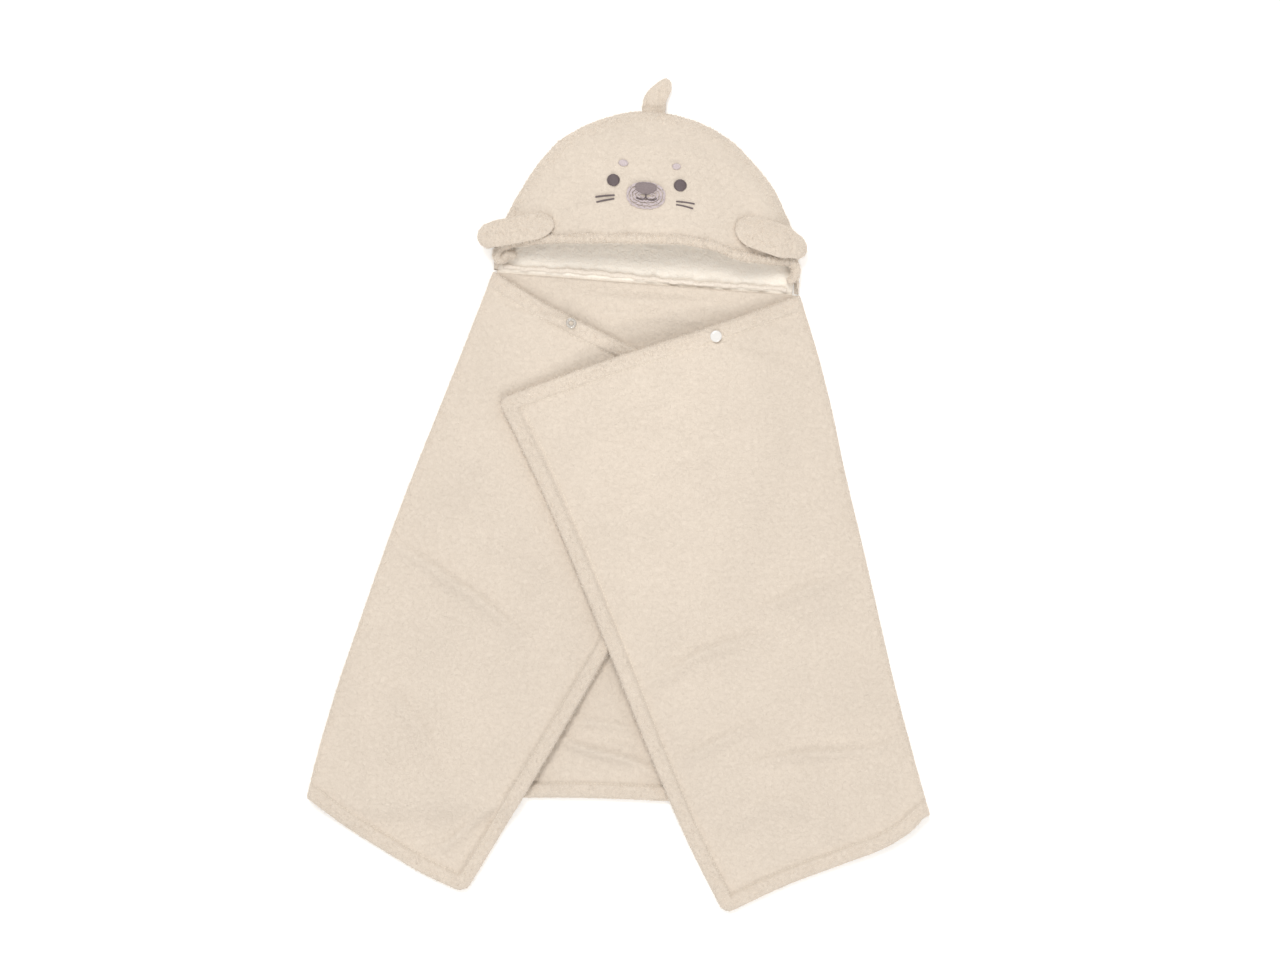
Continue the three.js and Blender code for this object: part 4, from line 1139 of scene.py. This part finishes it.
# (radius, height) round each half's turned form, over the height that it stands at
CAP = [(0, -1.6), (5.6, -1.6), (6.2, -1.0), (6.2, 0.2), (5.9, 0.75), (5.2, 1.05), (3.4, 1.2), (1.7, 1.15), (1.2, 1.0),
       (0.8, 1.02), (0, 1.05)]
RING = [(2.3, -1.4), (5.2, -1.4), (5.6, -0.9), (5.6, 0.1), (5.2, 0.65), (4.5, 0.95), (3.7, 1.0), (3.0, 0.75),
        (2.5, 0.2)]
SOCKET = [(1.6, -1.3), (5.0, -1.3), (5.2, -0.9), (5.2, 0.7), (4.8, 1.0), (3.8, 1.1), (3.1, 0.8), (2.8, 0.0),
          (1.7, -0.2)]
BUTTON = [(0, -1.0), (5.6, -1.0), (6.2, -0.6), (6.2, 0.3), (5.8, 0.8), (4.2, 1.0), (0, 1.05)]
snaps = {
    "right_snap_cap": new_piece("Pearl snap cap", *turned(CAP, (*right_spot, right_high + 0.9)), PEARL),
    "right_snap_socket": new_piece("Pearl snap socket", *turned(SOCKET, (*right_spot, right_high - 6.6)), PEARL),
    "left_snap_stud": new_piece("Clear snap stud", *turned(RING, (*left_spot, left_high + 0.9)), CLEAR),
    "left_snap_cap": new_piece("Clear snap cap", *turned(BUTTON, (*left_spot, left_high - 6.4)), CLEAR),
}


# ------------------------------------------------------------------ what repeats: stitches and tufts of pile

def new_tree(name, *inputs):
    """A geometry node tree with a mesh and a material in and a mesh out, and more inputs as (name, kind, value)."""
    tree = bpy.data.node_groups.new(name, "GeometryNodeTree")
    tree.interface.new_socket("Geometry", in_out="INPUT", socket_type="NodeSocketGeometry")
    for label, kind, value in inputs:
        tree.interface.new_socket(label, in_out="INPUT", socket_type=kind).default_value = value
    tree.interface.new_socket("Material", in_out="INPUT", socket_type="NodeSocketMaterial")
    tree.interface.new_socket("Geometry", in_out="OUTPUT", socket_type="NodeSocketGeometry")
    return tree


def tuft_tree():
    """Small tufts of pile over a mesh, as dense as its own pile_amount says."""
    tree = new_tree("Pile tufts", ("Density", "NodeSocketFloat", PILE_DENSITY), ("Length", "NodeSocketFloat", 0.0019),
                    ("Thickness", "NodeSocketFloat", 0.00026), ("Seed", "NodeSocketInt", 1))
    source, out = node(tree, "NodeGroupInput"), node(tree, "NodeGroupOutput")
    amount = node(tree, "GeometryNodeInputNamedAttribute", [("Name", "pile_amount")], data_type="FLOAT")
    dense = node(tree, "ShaderNodeMath", operation="MULTIPLY")
    spread_out = node(tree, "GeometryNodeDistributePointsOnFaces")
    cone = node(tree, "GeometryNodeMeshCone",
                [("Vertices", 4), ("Radius Top", 0.25), ("Radius Bottom", 1.0), ("Depth", 1.0)])
    size = node(tree, "ShaderNodeCombineXYZ")
    turn = node(tree, "FunctionNodeRandomValue", [("Min", (-0.9, -0.9, -3.1)), ("Max", (0.9, 0.9, 3.1))],
                data_type="FLOAT_VECTOR")
    grow = node(tree, "FunctionNodeRandomValue", [(2, 0.6), (3, 1.2)], data_type="FLOAT")
    tilt = node(tree, "FunctionNodeRotateRotation", rotation_space="LOCAL")
    place = node(tree, "GeometryNodeInstanceOnPoints")
    sized = node(tree, "ShaderNodeVectorMath", operation="SCALE")
    real = node(tree, "GeometryNodeRealizeInstances")
    paint = node(tree, "GeometryNodeSetMaterial")
    turned_by, grown_by = 0, 1                # the outputs of the random nodes for a vector and for a number
    wire(tree, (amount, "Attribute", dense, 0), (source, "Density", dense, 1),
         (source, "Geometry", spread_out, "Mesh"), (dense, "Value", spread_out, "Density"),
         (source, "Seed", spread_out, "Seed"), (source, "Seed", turn, "Seed"), (source, "Seed", grow, "Seed"),
         (source, "Thickness", size, "X"), (source, "Thickness", size, "Y"), (source, "Length", size, "Z"),
         (size, "Vector", sized, "Vector"), (grow, grown_by, sized, "Scale"),
         (spread_out, "Rotation", tilt, "Rotation"), (turn, turned_by, tilt, "Rotate By"),
         (spread_out, "Points", place, "Points"), (cone, "Mesh", place, "Instance"),
         (tilt, "Rotation", place, "Rotation"), (sized, "Vector", place, "Scale"))
    finish_tree(tree, source, place, real, paint, out)
    return tree


def finish_tree(tree, source, place, real, paint, out):
    """Makes the instances real and sets their material, at the end of a tree."""
    wire(tree, (place, "Instances", real, "Geometry"), (real, "Geometry", paint, "Geometry"),
         (source, "Material", paint, "Material"), (paint, "Geometry", out, "Geometry"))


def stitch_tree():
    """Short stitches along a line, each laid along it."""
    tree = new_tree("Stitch row", ("Spacing", "NodeSocketFloat", 0.0036), ("Length", "NodeSocketFloat", 0.0012),
                    ("Thickness", "NodeSocketFloat", 0.00042))
    source, out = node(tree, "NodeGroupInput"), node(tree, "NodeGroupOutput")
    line = node(tree, "GeometryNodeMeshToCurve")
    even = node(tree, "GeometryNodeResampleCurve", mode="LENGTH")
    tangent = node(tree, "GeometryNodeInputTangent")
    align = node(tree, "FunctionNodeAlignRotationToVector", axis="X")
    bead = node(tree, "GeometryNodeMeshIcoSphere", [("Radius", 1.0), ("Subdivisions", 1)])
    size = node(tree, "ShaderNodeCombineXYZ")
    place = node(tree, "GeometryNodeInstanceOnPoints")
    real = node(tree, "GeometryNodeRealizeInstances")
    paint = node(tree, "GeometryNodeSetMaterial")
    wire(tree, (source, "Geometry", line, "Mesh"), (line, "Curve", even, "Curve"),
         (source, "Spacing", even, "Length"), (tangent, "Tangent", align, "Vector"),
         (source, "Length", size, "X"), (source, "Thickness", size, "Y"), (source, "Thickness", size, "Z"),
         (even, "Curve", place, "Points"), (bead, "Mesh", place, "Instance"),
         (align, "Rotation", place, "Rotation"), (size, "Vector", place, "Scale"))
    finish_tree(tree, source, place, real, paint, out)
    return tree


PILE_TUFTS = tuft_tree()
STITCH_ROW = stitch_tree()


def grown(name, mesh, tree, **values):
    """The mesh that a node tree makes from another, as a piece of its own."""
    holder = bpy.data.objects.new(name + "_base", mesh)
    bpy.context.scene.collection.objects.link(holder)
    modifier = holder.modifiers.new(name, "NODES")
    modifier.node_group = tree
    for item in tree.interface.items_tree:
        key = item.name.lower()
        if item.item_type == "SOCKET" and item.in_out == "INPUT" and key in values:
            modifier[item.identifier] = values[key]
    bpy.context.view_layer.update()
    evaluated = holder.evaluated_get(bpy.context.evaluated_depsgraph_get())
    made = bpy.data.meshes.new_from_object(evaluated)
    made.name = name
    bpy.data.objects.remove(holder)
    heights = np.empty(len(made.vertices) * 3)
    made.vertices.foreach_get("co", heights)
    heights[2::3] = np.maximum(heights[2::3], 0.0001)
    made.vertices.foreach_set("co", heights)
    if made.attributes.get("pile_amount"):
        made.attributes.remove(made.attributes["pile_amount"])
    keep_places(made)
    made.polygons.foreach_set("use_smooth", np.ones(len(made.polygons), bool))
    piece = bpy.data.objects.new(name, made)
    bpy.context.scene.collection.objects.link(piece)
    return piece


def everywhere(co):
    """No depth at all, so that the pile stands on the whole piece."""
    return co[:, 0] * 0


def with_pile(piece, name, seed, share=1.0, reach=9, depth_of=everywhere, length=0.0019):
    """Tufts of pile on a piece's outer side, as far in from its edges as a reach in millimetres."""
    mesh = piece.data.copy()
    count = len(mesh.vertices)
    co = np.empty(count * 3)
    mesh.vertices.foreach_get("co", co)
    co = co.reshape(-1, 3) / MM
    normals = np.empty(count * 3)
    mesh.vertices.foreach_get("normal", normals)
    normals = normals.reshape(-1, 3)
    outer = smoothstep(-0.7, -0.2, normals[:, 2])
    amount = outer * (1 - smoothstep(reach * 0.5, reach, depth_of(co)))
    attribute = mesh.attributes.new("pile_amount", "FLOAT", "POINT")
    attribute.data.foreach_set("value", amount.astype(np.float32))
    # the tufts take the pile tips' painted light
    return grown(name, mesh, PILE_TUFTS, density=PILE_DENSITY * share, length=length, thickness=0.00026, seed=seed,
                 material=LIGHTENED_PILE_TIPS)


def stitch_line(name, lines):
    """Stitches along lines of places in millimetres, all in one piece."""
    points, edges = [], []
    for line in lines:
        n = len(points)
        points += [tuple(float(v) * MM for v in p) for p in line]
        edges += [(n + k, n + k + 1) for k in range(len(line) - 1)]
    mesh = bpy.data.meshes.new(name)
    mesh.from_pydata(points, edges, [])
    return grown(name, mesh, STITCH_ROW, spacing=3.6 * MM, material=PALE)


def depth_from(lines, fold=None):
    """How far in from its hems a place is. A fold counts as 9 mm farther, for it has less loose pile."""
    if fold is None:
        return lambda co: np.min([distance_to(co[:, :2], line)[0] for line in lines], 0)
    return lambda co: np.minimum(depth_from(lines)(co), distance_to(co[:, :2], fold)[0] + 9)


HEM_ROW = 12          # the grid row on a hem's stitching
ABOVE = np.array([0, 0, 0.12])     # the stitches' height over the cloth


def flap_stitches(name, up):
    """Stitches along a flap's free edge, its foot and its top."""
    run = slice(2, -HEM_ROW)
    return stitch_line(name, [up[-HEM_ROW - 1, HEM_ROW:-HEM_ROW - 1] + ABOVE, up[run, HEM_ROW] + ABOVE,
                              up[run, -HEM_ROW - 1] + ABOVE])


left_stitches = flap_stitches("left_flap_stitches", left_up)
right_stitches = flap_stitches("right_flap_stitches", right_up)
back_stitches = stitch_line("back_stitches", [back_top[3:-3, HEM_ROW] + ABOVE])
left_pile = with_pile(left_flap, "left_flap_pile", 3, 1.0, 19, depth_from(left_lines, left_fold_up(steps)))
right_pile = with_pile(right_flap, "right_flap_pile", 4, 1.0, 19, depth_from(right_lines, right_fold(steps)))
back_pile = with_pile(towel_back, "towel_back_pile", 5, 1.0, 19, depth_from([back_foot(steps)]))
hood_rim = hood_to_world(np.stack([HOOD_HALF_WIDTH * np.cos(steps * np.pi), HOOD_LENGTH * np.sin(steps * np.pi)], -1))
hood_pile = with_pile(hood_face, "hood_face_pile", 6, 1.0, 14, depth_from([hood_rim]))
brim_pile = with_pile(brim, "brim_pile", 7, 2.2, length=0.0021)
left_flipper_pile = with_pile(left_flipper, "left_flipper_pile", 8, 1.2)
right_flipper_pile = with_pile(right_flipper, "right_flipper_pile", 9, 1.2)
tuft_pile = with_pile(tuft, "crown_tuft_pile", 10, 1.3)


# ------------------------------------------------------------------ what moves with what

def world(point):
    """A place in millimetres, in metres."""
    return [float(v) * MM for v in point]


def flap_bend(fold, run, inward, high):
    """From the fold's underside up to where the flap lies, for cloth that turns over a fold."""
    spot = fold(np.array([0.5]))[0]
    side = unit(np.array([-run[1], run[0]]))
    side = side if side @ inward > 0 else -side
    return world([*spot, 2.0]), world([*(spot + side * 4.4), high])


for piece in (towel_back, binding, back_stitches, back_pile):
    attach(piece, "back")
for piece in (hood_face, hood_pile, brim_pile, brim, backing, mouth, nose, muzzle,
              *eye_pieces, *brow_pieces, *whiskers.values()):
    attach(piece, "hood")
for name in ("left_snap_stud", "left_snap_cap"):
    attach(snaps[name], "left_front")
for name in ("right_snap_cap", "right_snap_socket"):
    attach(snaps[name], "right_front")
left_ends = flap_bend(left_fold_up, left_run, np.array([1.0, 0]), 7.0)
right_ends = flap_bend(right_fold, right_run, np.array([-1.0, 0]), 12.5)
for piece in (left_flap, left_pile, left_stitches):
    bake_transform(piece)
for piece in (right_flap, right_pile, right_stitches):
    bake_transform(piece)
hinge = hood_to_world([0.0, NECK_OFFSET])
beyond = hood_to_world([0.0, NECK_OFFSET + 14])
world([*hinge, 2.2])
world([*beyond, 2.2])
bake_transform(hood_back)
for piece in (left_flipper, left_flipper_pile):
    world(left_bend[0])
    world(left_bend[1])
    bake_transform(piece)
for piece in (right_flipper, right_flipper_pile):
    world(right_bend[0])
    world(right_bend[1])
    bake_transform(piece)
for piece in (tuft, tuft_pile):
    world([34.0, 452.5, 4])
    world([35.6, 459.5, 4])
    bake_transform(piece)

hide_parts("towel_back", "back_foot_hem")
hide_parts("left_fold", "left_front_panel", "left_front_foot_hem", "left_front_edge_hem",
            "left_front_top_hem")
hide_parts("right_fold", "right_front_panel", "right_front_top_hem", "right_front_edge_hem",
            "right_front_foot_hem")
for piece, name in ((hood_face, "hood_face_panel"), (hood_back, "hood_back_panel"), (brim, "brim_hem"),
                    (binding, "neck_binding"), (backing, "embroidery_backing"), (mouth, "mouth"), (nose, "nose"),
                    (muzzle, "muzzle"), (eye_pieces[0], "left_eye"), (eye_pieces[1], "right_eye"),
                    (brow_pieces[0], "left_brow"), (brow_pieces[1], "right_brow")):
    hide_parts(name)
for name, piece in whiskers.items():
    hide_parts(name.lower().replace(" ", "_"))
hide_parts("left_flipper_root", "left_flipper_inner", "left_flipper_outer")
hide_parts("right_flipper_root", "right_flipper_inner", "right_flipper_outer")
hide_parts("tuft_back", "tuft_front", "tuft_root")
for name, piece in snaps.items():
    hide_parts(name)


# ------------------------------------------------------------------ floor, light and camera

floor_mesh = bpy.data.meshes.new("Floor")
floor_mesh.from_pydata([(x * 40, y * 40, -0.0006) for x, y in ((-1, -1), (1, -1), (1, 1), (-1, 1))], [], [(0, 1, 2, 3)])
floor_mesh.materials.append(new_material("Pale floor", [
    ("Base Color", (0.93, 0.925, 0.915, 1)), ("Roughness", 0.9), ("Specular IOR Level", 0.05),
    ("Emission Color", (1, 1, 1, 1)), ("Emission Strength", 0.22)])[0])
floor = bpy.data.objects.new("Floor", floor_mesh)
bpy.context.scene.collection.objects.link(floor)

pale_world = bpy.data.worlds.new("Pale room")
pale_world.use_nodes = True
sky = pale_world.node_tree.nodes["Background"]
sky.inputs["Color"].default_value = (1.0, 0.985, 0.965, 1)
sky.inputs["Strength"].default_value = WORLD_LIGHT
bpy.context.scene.world = pale_world


def area_light(name, place, power, colour):
    """A round lamp 4 m across, aimed at the towel's middle."""
    data = bpy.data.lights.new(name, "AREA")
    data.shape = "DISK"
    data.size = 4.0
    data.energy = power
    data.color = colour
    lamp = bpy.data.objects.new(name, data)
    lamp.location = place
    way = -np.asarray(place, float)
    flat = math.hypot(way[0], way[1])
    lamp.rotation_euler = (math.atan2(flat, -way[2]), 0, math.atan2(way[1], way[0]) - math.pi / 2)
    bpy.context.scene.collection.objects.link(lamp)


area_light("Key light", (-1.5, 5.4, 8.6), KEY_LIGHT, (1, 0.985, 0.96))
mouth_data = bpy.data.lights.new("Hood light", "SPOT")
mouth_data.energy = MOUTH_LIGHT
mouth_data.color = (1, 0.97, 0.91)
mouth_data.spot_size = math.radians(10)
mouth_data.spot_blend = 1.0
mouth_data.shadow_soft_size = 0.12
mouth_light = bpy.data.objects.new("Hood light", mouth_data)
mouth_light.location = (0.03, -1.6, 1.0)
mouth_light.rotation_euler = (math.atan2(1.91, 1.0), 0, 0)
bpy.context.scene.collection.objects.link(mouth_light)
area_light("Fill light", (1.8, -5.4, 5.2), FILL_LIGHT, (1, 0.99, 0.98))

camera_data = bpy.data.cameras.new("Camera")
camera_data.lens = 106.1
camera_data.sensor_width = 36
camera = bpy.data.objects.new("Camera", camera_data)
camera.location = (0.0223, 0.0657, 4.0)
camera.rotation_euler = (0, 0, 0)
bpy.context.scene.collection.objects.link(camera)
bpy.context.scene.camera = camera
bpy.context.scene.view_settings.view_transform = "Standard"
